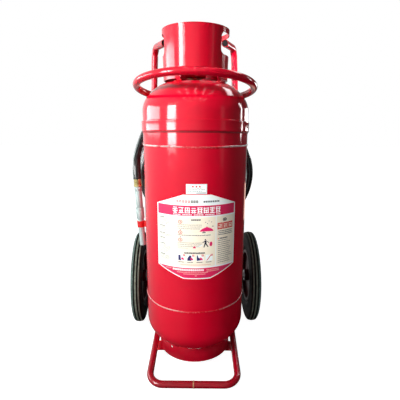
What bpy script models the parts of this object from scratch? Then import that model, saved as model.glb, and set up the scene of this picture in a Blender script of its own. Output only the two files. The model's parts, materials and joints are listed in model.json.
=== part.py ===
"""Wheeled dry-powder fire extinguisher, about 1.15 m tall, in metres with +Z up.

A welded steel tank stands on a tube frame with two wheels behind it. The frame carries a ring
handle, and the hose hangs behind the tank with its spray gun clipped to the tank's left side.
Every piece hangs from one empty on the tank's vertical axis, on the floor. The front is -Y.
"""

import math

import bmesh
import bpy
from mathutils import Vector

# The tank's axis, so that the whole object is centred on the world origin.
TANK_AXIS_Y = -0.1319
GAP = 0.0003

# Tank
TANK_RADIUS = 0.175
TANK_WALL = 0.003
HEAD_RISE = 0.108
BOTTOM_TANGENT_Z = 0.175
LOWER_WELD_Z = 0.267
UPPER_WELD_Z = 0.797
TOP_TANGENT_Z = 0.905
TANK_SIDES = 48
HEAD_STEPS = 7
NECK_RADIUS = 0.0335
NECK_BORE = 0.0234
NECK_Z = (1.002, 1.030)

# Collar, foot ring and hoop round the tank
COLLAR_RADIUS = (0.104, 0.108)
COLLAR_TOP_Z = 1.153
COLLAR_EDGE_Z = 1.000
COLLAR_FOOT_Z = 0.9942
COLLAR_WALL = 0.003
COLLAR_FEET = (-133.0, -30.0, 47.0, 150.0)
COLLAR_FOOT_HALF_ANGLE = 3.3
COLLAR_ARCH = (8.5, 34.5, 0.022)
COLLAR_STEP = 4.0
WINDOW_Z = (1.074, 1.138)
WINDOW_ANGLES = ((48.5, 131.0), (-132.0, -66.0))
HOSE_SLOT_HALF_WIDTH = 0.020
HOSE_SLOT_TOP_Z = 1.092
FOOT_RING_RADIUS = 0.130
FOOT_RING_Z = (0.050, 0.1001)
FOOT_HOLE_ANGLE = -38.0
FOOT_HOLE_Z = 0.090
HOOP_MIDDLE_Z = 0.8545
HOOP_WIDTH = 0.034
HOOP_THICKNESS = 0.0035
HOOP_SLOPE = -0.0436

# Tube frame. The frame stands a few millimetres to the left at its top.
TUBE_RADIUS = 0.0117
TUBE_BORE = 0.0097
TUBE_SIDES = 10
FOOT_BAR_Y = -0.193
LEG_FRONT_X = 0.152
LEG_REAR = {"left": (-0.1455, 0.150, 0.0753), "right": (0.1455, 0.152, 0.0753)}
SHOULDER = {"left": (-0.1565, 0.1485, 0.970), "right": (0.1452, 0.158, 0.970)}
TOP_CORNER = {"left": (-0.1500, 0.1495, 1.133), "right": (0.1360, 0.158, 1.133)}
TUBE_END = {"left": (-0.1010, 0.015, 1.121), "right": (0.0952, 0.015, 1.121)}
FOOT_BEND = 0.048
REAR_BEND = 0.045
TOP_BEND = 0.032
SHOULDER_BEND = 0.300
TUBE_JOINT_Z = 0.128
PLUG_DEPTH = 0.012

# Ring handle
RING_RADIUS = 0.191
RING_CENTRE_X = -0.001
RING_Z = 0.9798
RING_SLOPE_Y = -0.1427
RING_SLOPE_X = -0.0101
RING_STEPS = 36

# Wheels and axle. Distances named ALONG are measured along the axle from its middle. The axle is
# parallel to the line through the two uprights, and so it is turned a little from the X axis.
WHEEL_RADIUS = 0.196
WHEEL_ALONG = 0.2430
TYRE_HALF_WIDTH = 0.0198
AXLE_MIDDLE = Vector((-0.002, 0.2645, WHEEL_RADIUS))
AXLE_TURN = math.radians(1.9)
AXLE_DIRECTION = Vector((math.cos(AXLE_TURN), math.sin(AXLE_TURN), 0))
AXLE_RADIUS = 0.0125
AXLE_END_ALONG = 0.2640
AXLE_SHOULDER_ALONG = 0.2178
AXLE_SHOULDER_RADIUS = 0.0148
SPLIT_PIN_ALONG = 0.2600
HUB_ALONG = (0.2220, 0.2545)
HUB_RADIUS = 0.0259
BUSH_RADIUS = 0.0184
BUSH_BORE = 0.0129
BRACKET_X = 0.1465
BRACKET_THICKNESS = 0.005

# Valve, on the tank's axis
OUTLET_Z = 1.070
PIVOT_Y = 0.010
PIVOT_Z = 1.106
SAFETY_PIN_Y = 0.0235
GAUGE_Z = 1.065
VALVE_SIDES = 24

# Hose
HOSE_RADIUS = 0.015
HOSE_PITCH = 0.031
HOSE_START_Y = 0.0885
HOSE_BEND_Y = 0.0965
HOSE_BEND = 0.1255
LEAD_Y = 0.222
COIL_RADIUS = 0.2225
COIL_Z = 0.660
COIL_TURNS = 3
HOOK_X = 0.085
HOOK_RADIUS = 0.005
HOOK_START_Y = 0.1608
HOOK_END_Y = 0.374

# Spray gun, hung along one straight axis beside the tank
GUN_TOP = Vector((-0.2085, 0.035, 0.671))
GUN_END = Vector((-0.1938, 0.025, 0.427))
FERRULE_LENGTH = 0.0275
COUPLING_SPAN = (0.1037, 0.1460)
CLIP_SPAN = (0.1535, 0.1765)

# Label and sticker on the front of the tank, as angles from the front in degrees
LABEL_OUTLINE = (
    (-41.5, 0.4195, 0.6242),
    (-11.0, 0.3845, 0.6570),
    (17.0, 0.3845, 0.6570),
    (47.0, 0.4195, 0.6242),
)
STICKER_OUTLINE = ((-8.0, 0.6592, 0.6897), (12.7, 0.6592, 0.6897))

PAINT = ("red_paint", (0.60, 0.008, 0.025), 0.18, 0.0)
RED_PLASTIC = ("red_plastic", (0.75, 0.010, 0.015), 0.35, 0.0)
RUBBER = ("hose_rubber", (0.012, 0.012, 0.013), 0.25, 0.0)
TYRE_RUBBER = ("tyre_rubber", (0.020, 0.021, 0.020), 0.55, 0.0)
BRASS = ("brass", (0.72, 0.50, 0.22), 0.30, 1.0)
STEEL = ("zinc_steel", (0.55, 0.56, 0.57), 0.35, 1.0)
ALUMINIUM = ("aluminium", (0.80, 0.81, 0.82), 0.22, 1.0)
GOLD_ZINC = ("yellow_zinc", (0.80, 0.62, 0.25), 0.30, 1.0)
PAPER = ("label_print", (0.85, 0.82, 0.74), 0.45, 0.0)
BLACK_PLASTIC = ("black_plastic", (0.015, 0.015, 0.016), 0.45, 0.0)
CLEAR = ("gauge_glass", (0.85, 0.90, 0.92), 0.05, 0.0)


def clear_scene():
    for obj in list(bpy.data.objects):
        bpy.data.objects.remove(obj, do_unlink=True)


def material(finish):
    name, colour, roughness, metallic = finish
    found = bpy.data.materials.get(name)
    if found:
        return found
    made = bpy.data.materials.new(name)
    made.use_nodes = True
    shader = made.node_tree.nodes["Principled BSDF"]
    shader.inputs["Base Color"].default_value = (*colour, 1.0)
    shader.inputs["Roughness"].default_value = roughness
    shader.inputs["Metallic"].default_value = metallic
    return made


def add(name, bm, finish, origin=(0, 0, 0), direction=(0, 0, 1)):
    """Turns a bmesh into an object whose local Z points along direction."""
    bmesh.ops.remove_doubles(bm, verts=bm.verts, dist=1e-6)
    bmesh.ops.recalc_face_normals(bm, faces=bm.faces)
    mesh = bpy.data.meshes.new(name)
    bm.to_mesh(mesh)
    bm.free()
    mesh.shade_smooth()
    mesh.set_sharp_from_angle(angle=math.radians(35))
    mesh.materials.append(material(finish))
    obj = bpy.data.objects.new(name, mesh)
    obj.location = origin
    obj.rotation_euler = Vector((0, 0, 1)).rotation_difference(Vector(direction)).to_euler()
    obj.parent = bpy.data.objects["tank_axis"]
    bpy.context.scene.collection.objects.link(obj)
    return obj


def turned(name, outline, finish, sides=TANK_SIDES, origin=(0, 0, 0), direction=(0, 0, 1)):
    """Spins an outline of (radius, height) points round the local Z axis."""
    bm = bmesh.new()
    ring = [bm.verts.new((radius, 0, height)) for radius, height in outline]
    pairs = list(zip(ring, ring[1:]))
    if outline[0][0] > 0:
        pairs.append((ring[-1], ring[0]))
    edges = [bm.edges.new(pair) for pair in pairs]
    bmesh.ops.spin(
        bm, geom=ring + edges, cent=(0, 0, 0), axis=(0, 0, 1), angle=math.tau, steps=sides, use_merge=True
    )
    return add(name, bm, finish, origin, direction)


def tube_outline(inner, outer, low, high):
    return [(inner, low), (outer, low), (outer, high), (inner, high)]


def rod_outline(radius, low, high):
    return [(0, low), (radius, low), (radius, high), (0, high)]


def prism(name, outline, low, high, finish, origin=(0, 0, 0), direction=(0, 0, 1)):
    """Extrudes a flat outline of (x, y) points from low to high."""
    bm = bmesh.new()
    face = bm.faces.new([bm.verts.new((x, y, low)) for x, y in outline])
    top = bmesh.ops.extrude_face_region(bm, geom=[face])["geom"]
    verts = [item for item in top if isinstance(item, bmesh.types.BMVert)]
    bmesh.ops.translate(bm, verts=verts, vec=(0, 0, high - low))
    return add(name, bm, finish, origin, direction)


def block(name, low, high, finish):
    outline = [(low[0], low[1]), (high[0], low[1]), (high[0], high[1]), (low[0], high[1])]
    return prism(name, outline, low[2], high[2], finish)


def circle(radius, sides, centre=(0.0, 0.0)):
    turns = [math.tau * step / sides for step in range(sides)]
    return [(centre[0] + radius * math.cos(a), centre[1] + radius * math.sin(a)) for a in turns]


def combine(target, tool, operation):
    """A Boolean with a hidden tool."""
    tool.hide_render = True
    tool.display_type = "WIRE"
    modifier = target.modifiers.new(operation.title(), "BOOLEAN")
    modifier.operation = operation
    modifier.solver = "EXACT"
    modifier.object = tool


def rounded_path(corners, radii, steps=5):
    """Points along straight runs joined by round bends, one radius for each inner corner."""
    points = [Vector(corners[0])]
    for before, corner, after, radius in zip(corners, corners[1:], corners[2:], radii):
        corner = Vector(corner)
        back = (Vector(before) - corner).normalized()
        ahead = (Vector(after) - corner).normalized()
        half_angle = back.angle(ahead) / 2
        centre = corner + (back + ahead).normalized() * radius / math.sin(half_angle)
        start = (corner + back * radius / math.tan(half_angle) - centre).normalized()
        end = (corner + ahead * radius / math.tan(half_angle) - centre).normalized()
        points += [centre + start.slerp(end, step / steps) * radius for step in range(steps + 1)]
    return points + [Vector(corners[-1])]


def swept_tube(name, path, outer, inner, finish, sides=TUBE_SIDES):
    """A hollow tube along a path, open at both ends. Its sections keep a flat side down."""
    bm = bmesh.new()
    rings = []
    for index, point in enumerate(path):
        before = path[max(index - 1, 0)]
        after = path[min(index + 1, len(path) - 1)]
        ahead = (after - before).normalized()
        if rings:
            side = (side - ahead * side.dot(ahead)).normalized()
        else:
            side = ahead.orthogonal().normalized() if abs(ahead.z) > 0.9 else ahead.cross((0, 0, 1)).normalized()
        up = side.cross(ahead)
        section = []
        for radius in (outer, inner):
            reach = radius / math.cos(math.pi / sides)
            section.append([
                bm.verts.new(point + (side * math.sin(angle) + up * math.cos(angle)) * reach)
                for angle in (math.tau * (step + 0.5) / sides for step in range(sides))
            ])
        rings.append(section)
    for first, second in zip(rings, rings[1:]):
        for wall in (0, 1):
            skin(bm, first[wall], second[wall])
    for end in (rings[0], rings[-1]):
        skin(bm, end[0], end[1])
    return add(name, bm, finish)


def skin(bm, first, second):
    for index in range(len(first)):
        following = (index + 1) % len(first)
        bm.faces.new((first[index], first[following], second[following], second[index]))


def curved_sheet(name, columns, radii, thickness, finish):
    """A sheet wrapped on the tank's axis from columns of (angle from the front, low z, high z).

    radii are the outer radii at a low and a high reference height, as (z, radius) pairs.
    """
    (low_z, low_radius), (high_z, high_radius) = radii
    closed = columns[-1][0] - columns[0][0] > 359
    if closed:
        columns = columns[:-1]
    bm = bmesh.new()

    def corner(angle, height, depth):
        share = (height - low_z) / (high_z - low_z)
        radius = low_radius + (high_radius - low_radius) * share - depth
        turn = math.radians(angle)
        return bm.verts.new((radius * math.sin(turn), -radius * math.cos(turn), height))

    sections = [
        (corner(a, low, 0), corner(a, high, 0), corner(a, high, thickness), corner(a, low, thickness))
        for a, low, high in columns
    ]
    pairs = list(zip(sections, sections[1:]))
    if closed:
        pairs.append((sections[-1], sections[0]))
    for first, second in pairs:
        skin(bm, first, second)
    if not closed:
        bm.faces.new(sections[0])
        bm.faces.new(sections[-1])
    return add(name, bm, finish)


def smooth_curve(points, steps):
    """A Catmull-Rom curve through the points."""
    ends = [points[0] * 2 - points[1]] + points + [points[-1] * 2 - points[-2]]
    curve = []
    for a, b, c, d in zip(ends, ends[1:], ends[2:], ends[3:]):
        for step in range(steps):
            t = step / steps
            curve.append(
                (b * 2 + (c - a) * t + (a * 2 - b * 5 + c * 4 - d) * t**2 + (b * 3 - a - c * 3 + d) * t**3) / 2
            )
    return curve + [points[-1]]


def hose_tube(name, points):
    curve = bpy.data.curves.new(name, "CURVE")
    curve.dimensions = "3D"
    curve.bevel_depth = HOSE_RADIUS
    curve.bevel_resolution = 3
    curve.use_fill_caps = True
    spline = curve.splines.new("POLY")
    spline.points.add(len(points) - 1)
    for target, point in zip(spline.points, points):
        target.co = (*point, 1)
    curve.materials.append(material(RUBBER))
    obj = bpy.data.objects.new(name, curve)
    obj.parent = bpy.data.objects["tank_axis"]
    bpy.context.scene.collection.objects.link(obj)


def head_outline(radius, rise, start=90.0, end=0.0):
    """Points of a quarter ellipse, from the angle start to the angle end above its wide rim."""
    turns = [math.radians(start + (end - start) * step / HEAD_STEPS) for step in range(HEAD_STEPS + 1)]
    return [(radius * math.cos(turn), rise * math.sin(turn)) for turn in turns]


def tank():
    inner = TANK_RADIUS - TANK_WALL
    inner_rise = HEAD_RISE - TANK_WALL
    barrel = tube_outline(inner, TANK_RADIUS, LOWER_WELD_Z + GAP, UPPER_WELD_Z - GAP)
    turned("tank_barrel", barrel, PAINT)

    outer_curve = [(r, BOTTOM_TANGENT_Z - h) for r, h in head_outline(TANK_RADIUS, HEAD_RISE)]
    inner_curve = [(r, BOTTOM_TANGENT_Z - h) for r, h in head_outline(inner, inner_rise)]
    outer_curve[0] = (0, BOTTOM_TANGENT_Z - HEAD_RISE)
    inner_curve[0] = (0, BOTTOM_TANGENT_Z - inner_rise)
    rim = [(TANK_RADIUS, LOWER_WELD_Z), (inner, LOWER_WELD_Z)]
    turned("tank_bottom_head", outer_curve + rim + inner_curve[::-1], PAINT)

    opening = NECK_RADIUS + GAP
    outer_start = math.degrees(math.acos(opening / TANK_RADIUS))
    inner_start = math.degrees(math.acos(opening / inner))
    outer_curve = [(r, TOP_TANGENT_Z + h) for r, h in head_outline(TANK_RADIUS, HEAD_RISE, outer_start)]
    inner_curve = [(r, TOP_TANGENT_Z + h) for r, h in head_outline(inner, inner_rise, inner_start)]
    rim = [(TANK_RADIUS, UPPER_WELD_Z), (inner, UPPER_WELD_Z)]
    turned("tank_top_head", outer_curve + rim + inner_curve[::-1], PAINT)

    turned("neck_boss", tube_outline(NECK_BORE, NECK_RADIUS, *NECK_Z), PAINT, VALVE_SIDES)
    turned("dip_tube", tube_outline(0.0072, 0.0092, 0.082, 1.030), STEEL, 16)


def collar_edge(angle):
    """Height of the collar's lower edge at an angle from the front."""
    arch_angle, arch_half, arch_rise = COLLAR_ARCH
    offset = (angle - arch_angle) / arch_half
    if abs(offset) < 1:
        return COLLAR_EDGE_Z + arch_rise * math.sqrt(1 - offset**2)
    return COLLAR_EDGE_Z


def valve_collar():
    angles = {-180.0 + COLLAR_STEP * step for step in range(int(360 / COLLAR_STEP) + 1)}
    foot_zones = [(foot - COLLAR_FOOT_HALF_ANGLE, foot + COLLAR_FOOT_HALF_ANGLE) for foot in COLLAR_FEET]
    for low, high in foot_zones:
        angles = {a for a in angles if not low - 1.5 < a < high + 1.5}
    columns = [(a, collar_edge(a), COLLAR_TOP_Z) for a in angles]
    for low, high in foot_zones:
        columns += [(low - 0.5, collar_edge(low - 0.5), COLLAR_TOP_Z), (low, COLLAR_FOOT_Z, COLLAR_TOP_Z)]
        columns += [(high, COLLAR_FOOT_Z, COLLAR_TOP_Z), (high + 0.5, collar_edge(high + 0.5), COLLAR_TOP_Z)]
    radii = ((COLLAR_EDGE_Z, COLLAR_RADIUS[0]), (COLLAR_TOP_Z, COLLAR_RADIUS[1]))
    collar = curved_sheet("valve_collar", sorted(columns), radii, COLLAR_WALL, PAINT)
    for index, (start, end) in enumerate(WINDOW_ANGLES):
        window_cutter(collar, index, math.radians((start + end) / 2), math.radians((end - start) / 2))
    low = (-HOSE_SLOT_HALF_WIDTH, 0.085, COLLAR_FOOT_Z - 0.02)
    high = (HOSE_SLOT_HALF_WIDTH, 0.130, HOSE_SLOT_TOP_Z)
    combine(collar, block("hose_slot_cutter", low, high, PAINT), "DIFFERENCE")


def window_cutter(collar, index, middle, half_angle):
    """Cuts a window with round corners through the collar's side."""
    half_width = COLLAR_RADIUS[1] * math.sin(half_angle)
    half_height = (WINDOW_Z[1] - WINDOW_Z[0]) / 2
    corner = 0.014
    outline = []
    for across, up, start in ((1, 1, 0), (-1, 1, 90), (-1, -1, 180), (1, -1, 270)):
        centre = (across * (half_width - corner), up * (half_height - corner))
        for step in range(4):
            turn = math.radians(start + 30 * step)
            outline.append((centre[0] + corner * math.cos(turn), centre[1] + corner * math.sin(turn)))
    cutter = prism(f"window_cutter_{index}", outline, 0.045, 0.130, PAINT)
    cutter.location = (0, 0, sum(WINDOW_Z) / 2)
    cutter.rotation_euler = (math.radians(90), 0, middle)
    combine(collar, cutter, "DIFFERENCE")


def foot_ring():
    ring = turned("foot_ring", tube_outline(FOOT_RING_RADIUS - 0.003, FOOT_RING_RADIUS, *FOOT_RING_Z), PAINT)
    turn = math.radians(FOOT_HOLE_ANGLE)
    outward = Vector((math.sin(turn), -math.cos(turn), 0))
    origin = outward * 0.110 + Vector((0, 0, FOOT_HOLE_Z))
    hole = turned("foot_hole_cutter", rod_outline(0.0045, 0, 0.04), PAINT, 12, origin, outward)
    combine(ring, hole, "DIFFERENCE")


def hoop_height(y):
    return HOOP_MIDDLE_Z + HOOP_SLOPE * y


def hoop():
    """A flat band round the tank, sheared so that its front sits higher than its back."""
    half = HOOP_WIDTH / 2
    inner = TANK_RADIUS + GAP
    outline = tube_outline(inner, inner + HOOP_THICKNESS, -half, half)
    band = turned("hoop_band", outline, PAINT, origin=(0, 0, HOOP_MIDDLE_Z))
    for vertex in band.data.vertices:
        vertex.co.z += HOOP_SLOPE * vertex.co.y


def labels():
    radius = TANK_RADIUS + GAP + 0.0004
    columns = []
    for (start, low, high), (end, next_low, next_high) in zip(LABEL_OUTLINE, LABEL_OUTLINE[1:]):
        for step in range(8):
            share = step / 8
            columns.append((
                start + (end - start) * share, low + (next_low - low) * share, high + (next_high - high) * share
            ))
    columns.append(LABEL_OUTLINE[-1])
    curved_sheet("front_label", columns, ((0, radius), (1, radius)), 0.0004, PAPER)
    start, end = STICKER_OUTLINE
    columns = [(start[0] + (end[0] - start[0]) * step / 6, start[1], start[2]) for step in range(7)]
    curved_sheet("inspection_sticker", columns, ((0, radius), (1, radius)), 0.0004, PAPER)


def foot_path(side):
    """Half of the foot bar, the leg behind it and the bend up to the joint with the upright."""
    sign = -1 if side == "left" else 1
    corners = [
        (sign * GAP / 2, FOOT_BAR_Y, TUBE_RADIUS),
        (sign * LEG_FRONT_X, FOOT_BAR_Y, TUBE_RADIUS),
        LEG_REAR[side],
        upright_point(side, TUBE_JOINT_Z - GAP / 2),
    ]
    return rounded_path(corners, (FOOT_BEND, REAR_BEND))


def upright_path(side):
    corners = [
        upright_point(side, TUBE_JOINT_Z + GAP / 2),
        SHOULDER[side],
        TOP_CORNER[side],
        TUBE_END[side],
    ]
    return rounded_path(corners, (SHOULDER_BEND, TOP_BEND))


def upright_point(side, height):
    """The point of an upright's axis at a height between its rear bend and its shoulder."""
    low = Vector(LEG_REAR[side])
    high = Vector(SHOULDER[side])
    return low.lerp(high, (height - low.z) / (high.z - low.z))


def tube_frame():
    for side in ("left", "right"):
        swept_tube(f"foot_tube_{side}", foot_path(side), TUBE_RADIUS, TUBE_BORE, PAINT)
        path = upright_path(side)
        swept_tube(f"frame_tube_{side}", path, TUBE_RADIUS, TUBE_BORE, PAINT)
        outline = rod_outline(TUBE_BORE - GAP, 0.001, PLUG_DEPTH)
        turned(f"tube_plug_{side}", outline, BLACK_PLASTIC, 12, path[-1], path[-2] - path[-1])
        gusset(side)
        hoop_lug(side)
        axle_bracket(side)
        hose_hook(side)


def gusset(side):
    sign = -1 if side == "left" else 1
    low_x, high_x = sorted((sign * 0.102, sign * 0.1365))
    block(f"gusset_{side}", (low_x, -0.062, 0.0457), (high_x, -0.009, FOOT_RING_Z[0] - GAP), PAINT)


def hoop_lug(side):
    """A small plate that ties an upright to the hoop."""
    foot = upright_point(side, hoop_height(0.15))
    flat = Vector((foot.x, foot.y, 0))
    start = TANK_RADIUS + GAP * 2 + HOOP_THICKNESS
    end = flat.length - TUBE_RADIUS - 0.0008
    outline = [(-0.0025, -0.013), (0.0025, -0.013), (0.0025, 0.013), (-0.0025, 0.013)]
    lug = prism(f"hoop_lug_{side}", outline, start, end, PAINT)
    lug.location = (0, 0, foot.z)
    lug.rotation_euler = (math.radians(90), 0, math.atan2(flat.x, -flat.y))


def axle_bracket(side):
    """A plate behind an upright that carries one end of the axle."""
    sign = -1 if side == "left" else 1
    middle = AXLE_MIDDLE + AXLE_DIRECTION * sign * BRACKET_X
    nose = 0.024
    front = upright_point(side, 0.262).y + TUBE_RADIUS + 0.0012
    outline = [(front, 0.135), (front, 0.262)]
    for step in range(7):
        turn = math.radians(75 - 25 * step)
        outline.append((middle.y + nose * math.cos(turn), middle.z + nose * math.sin(turn)))
    half = BRACKET_THICKNESS / 2
    plate = prism(f"axle_bracket_{side}", outline, -half, half, PAINT)
    plate.location = (sign * BRACKET_X, 0, 0)
    plate.rotation_euler = (math.radians(90), 0, math.radians(90))
    bore = rod_outline(AXLE_SHOULDER_RADIUS + GAP, -0.01, 0.01)
    hole = turned(f"axle_hole_cutter_{side}", bore, PAINT, 24, middle, AXLE_DIRECTION)
    combine(plate, hole, "DIFFERENCE")


def hose_hook(side):
    """A round bar from the hoop, with an upturned end, that holds the coiled hose."""
    sign = -1 if side == "left" else 1
    height = COIL_Z + math.sqrt((COIL_RADIUS - HOSE_RADIUS) ** 2 - HOOK_X**2) - 3 * GAP - HOOK_RADIUS
    corners = [
        (sign * HOOK_X, HOOK_START_Y, height),
        (sign * HOOK_X, HOOK_END_Y, height),
        (sign * HOOK_X, HOOK_END_Y + 0.004, height + 0.036),
    ]
    path = rounded_path(corners, (0.010,), 3)
    swept_solid(f"hose_hook_{side}", path, HOOK_RADIUS)


def swept_solid(name, path, radius):
    curve = bpy.data.curves.new(name, "CURVE")
    curve.dimensions = "3D"
    curve.bevel_depth = radius
    curve.bevel_resolution = 2
    curve.use_fill_caps = True
    spline = curve.splines.new("POLY")
    spline.points.add(len(path) - 1)
    for target, point in zip(spline.points, path):
        target.co = (*point, 1)
    curve.materials.append(material(PAINT))
    obj = bpy.data.objects.new(name, curve)
    obj.parent = bpy.data.objects["tank_axis"]
    bpy.context.scene.collection.objects.link(obj)


def ring_handle():
    """A tube bent to a ring and butt-welded at the back, with its front raised."""
    opening = GAP / 2 / RING_RADIUS
    path = []
    for step in range(RING_STEPS + 1):
        turn = math.pi / 2 + opening + (math.tau - 2 * opening) * step / RING_STEPS
        x = RING_CENTRE_X + RING_RADIUS * math.cos(turn)
        y = RING_RADIUS * math.sin(turn)
        path.append(Vector((x, y, RING_Z + RING_SLOPE_Y * y + RING_SLOPE_X * x)))
    swept_tube("ring_handle", path, TUBE_RADIUS, TUBE_BORE, PAINT, 8)


def axle():
    end = AXLE_END_ALONG
    shoulder = AXLE_SHOULDER_ALONG
    outline = [(0, -end), (AXLE_RADIUS, -end), (AXLE_RADIUS, -shoulder), (AXLE_SHOULDER_RADIUS, -shoulder)]
    outline += [(AXLE_SHOULDER_RADIUS, shoulder), (AXLE_RADIUS, shoulder), (AXLE_RADIUS, end), (0, end)]
    bar = turned("axle", outline, STEEL, 24, AXLE_MIDDLE, AXLE_DIRECTION)
    for sign in (-1, 1):
        origin = AXLE_MIDDLE + AXLE_DIRECTION * sign * SPLIT_PIN_ALONG
        hole = turned(f"pin_hole_cutter_{sign}", rod_outline(0.0024, -0.03, 0.03), STEEL, 10, origin)
        combine(bar, hole, "DIFFERENCE")


def both_faces(half_outline):
    """A wheel piece's outline from its inner face to its outer one, from (radius, half width) points."""
    inner_half = [(radius, WHEEL_ALONG - width) for radius, width in half_outline]
    outer_half = [(radius, WHEEL_ALONG + width) for radius, width in reversed(half_outline)]
    return inner_half + outer_half


def wheel(side):
    """A solid tyre on a red rim with a bushed hub, spun round the axle."""
    outward = AXLE_DIRECTION * (-1 if side == "left" else 1)
    half = TYRE_HALF_WIDTH
    crown = [(0.1059, 0.0140), (0.1175, 0.0140), (0.1285, half - 0.0003), (0.1785, half)]
    crown += [(0.1900, half - 0.003), (0.1945, half - 0.0085), (WHEEL_RADIUS, 0.007)]
    rim = [(0.0262, 0.0015), (0.1025, 0.0015), (0.1025, 0.0168), (0.1145, 0.0168)]
    rim += [(0.1145, 0.0144), (0.1055, 0.0144)]
    inner_face, outer_face = HUB_ALONG
    pieces = (
        ("tyre", both_faces(crown), TYRE_RUBBER, 40),
        ("rim", both_faces(rim), PAINT, 32),
        ("hub", tube_outline(BUSH_RADIUS + GAP, HUB_RADIUS, inner_face, outer_face), PAINT, 24),
        ("bush", tube_outline(BUSH_BORE, BUSH_RADIUS, inner_face, outer_face), BLACK_PLASTIC, 24),
        ("inner_washer", tube_outline(BUSH_BORE, 0.0220, inner_face - 0.0035, inner_face - 0.0006), STEEL, 24),
        ("outer_washer", tube_outline(BUSH_BORE, 0.0200, outer_face + 0.0004, outer_face + 0.0024), STEEL, 24),
    )
    for name, outline, finish, sides in pieces:
        turned(f"{name}_{side}", outline, finish, sides, AXLE_MIDDLE, outward)
    origin = AXLE_MIDDLE + outward * SPLIT_PIN_ALONG
    turned(f"split_pin_{side}", rod_outline(0.0020, -0.018, 0.018), STEEL, 8, origin)


def valve_body():
    outline = [
        (0.0095, 1.0035), (0.0231, 1.0035), (0.0231, 1.0331), (0.0300, 1.0331), (0.0300, 1.0430),
        (0.0205, 1.0460), (0.0205, 1.0880), (0.0170, 1.0950), (0.0047, 1.0950), (0.0047, 1.0740),
        (0.0095, 1.0740),
    ]
    body = turned("valve_body", outline, BRASS, VALVE_SIDES)
    stub = turned("outlet_stub", rod_outline(0.0130, 0.012, 0.045), BRASS, 20, (0, 0, OUTLET_Z), (0, 1, 0))
    combine(body, stub, "UNION")
    boss = turned("gauge_boss", rod_outline(0.0080, 0.012, 0.0245), BRASS, 16, (0, 0, GAUGE_Z), (0, -1, 0))
    combine(body, boss, "UNION")
    for sign in (-1, 1):
        low_x, high_x = sorted((sign * 0.0085, sign * 0.0120))
        ear = block(f"ear_{sign}", (low_x, -0.004, 1.085), (high_x, 0.0300, 1.1130), BRASS)
        combine(body, ear, "UNION")
    bore = turned("outlet_bore", rod_outline(0.0085, 0.003, 0.05), BRASS, 16, (0, 0, OUTLET_Z), (0, 1, 0))
    combine(body, bore, "DIFFERENCE")
    for depth, name in ((PIVOT_Y, "pivot_bore"), (SAFETY_PIN_Y, "safety_bore")):
        hole = turned(name, rod_outline(0.0027, -0.03, 0.03), BRASS, 12, (0, depth, PIVOT_Z), (1, 0, 0))
        combine(body, hole, "DIFFERENCE")
    turned("valve_seal", tube_outline(0.0238, 0.0290, 1.0303, 1.0328), RUBBER, VALVE_SIDES)


def valve_works():
    turned("valve_stem", rod_outline(0.0042, 1.0480, 1.1030), STEEL, 12)
    origin = (0, PIVOT_Y, PIVOT_Z)
    turned("lever_pin", rod_outline(0.0023, -0.0150, 0.0150), STEEL, 12, origin, (1, 0, 0))
    lever = turned("valve_lever", rod_outline(0.0058, -0.0080, 0.0080), STEEL, 16, origin, (1, 0, 0))
    strip = block("lever_strip", (-0.0070, -0.0750, 1.1035), (0.0070, PIVOT_Y - 0.0040, 1.1075), STEEL)
    combine(lever, strip, "UNION")
    pad = block("lever_pad", (-0.0120, -0.0780, 1.1025), (0.0120, -0.0500, 1.1085), STEEL)
    combine(lever, pad, "UNION")
    bore = turned("lever_bore", rod_outline(0.0027, -0.02, 0.02), STEEL, 12, origin, (1, 0, 0))
    combine(lever, bore, "DIFFERENCE")
    origin = (0, SAFETY_PIN_Y, PIVOT_Z)
    pin = turned("safety_pin", rod_outline(0.0020, -0.0160, 0.0200), STEEL, 12, origin, (1, 0, 0))
    bm = bmesh.new()
    section = [bm.verts.new((0.0110 + x, 0, y)) for x, y in circle(0.0014, 8)]
    edges = [bm.edges.new((a, b)) for a, b in zip(section, section[1:] + section[:1])]
    bmesh.ops.spin(
        bm, geom=section + edges, cent=(0, 0, 0), axis=(0, 0, 1), angle=math.tau, steps=20, use_merge=True
    )
    loop = add("safety_pin_loop", bm, STEEL, (0.0190, SAFETY_PIN_Y, PIVOT_Z - 0.0110), (1, 0, 0))
    combine(pin, loop, "UNION")


def gauge():
    """A pressure gauge that faces the front."""
    origin = (0, 0, GAUGE_Z)
    case = [(0, 0.0248), (0.0075, 0.0248), (0.0075, 0.0290), (0.0195, 0.0290), (0.0195, 0.0450)]
    case += [(0.0178, 0.0450), (0.0178, 0.0310), (0, 0.0310)]
    turned("gauge_case", case, BRASS, 24, origin, (0, -1, 0))
    turned("gauge_dial", rod_outline(0.0172, 0.0315, 0.0325), PAPER, 24, origin, (0, -1, 0))
    turned("gauge_lens", rod_outline(0.0174, 0.0425, 0.0440), CLEAR, 24, origin, (0, -1, 0))
    outline = [(-0.0012, -0.0045), (0.0012, -0.0045), (0.0005, 0.0135), (-0.0005, 0.0135)]
    needle = prism("gauge_needle", outline, 0.0375, 0.0385, BLACK_PLASTIC)
    needle.location = origin
    needle.rotation_euler = (math.radians(90), 0, 0)


def hose_nut():
    """The hexagon nut and the crimped ferrule that hold the hose on the valve's outlet."""
    origin = (0, 0, OUTLET_Z)
    nut = prism("outlet_nut", circle(0.0180, 6), 0.0454, 0.0590, BRASS, origin, (0, 1, 0))
    bore = turned("nut_bore", rod_outline(0.0090, 0.040, 0.065), BRASS, 16, origin, (0, 1, 0))
    combine(nut, bore, "DIFFERENCE")
    outline = tube_outline(0.0090, 0.0175, 0.0593, HOSE_START_Y - GAP)
    turned("hose_ferrule", outline, GOLD_ZINC, 20, origin, (0, 1, 0))


def coil_point(turn_degrees, y):
    """A point of the coil's middle line. 180 is its left side and 270 its bottom."""
    turn = math.radians(turn_degrees)
    return Vector((COIL_RADIUS * math.cos(turn), y, COIL_Z + COIL_RADIUS * math.sin(turn)))


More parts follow.
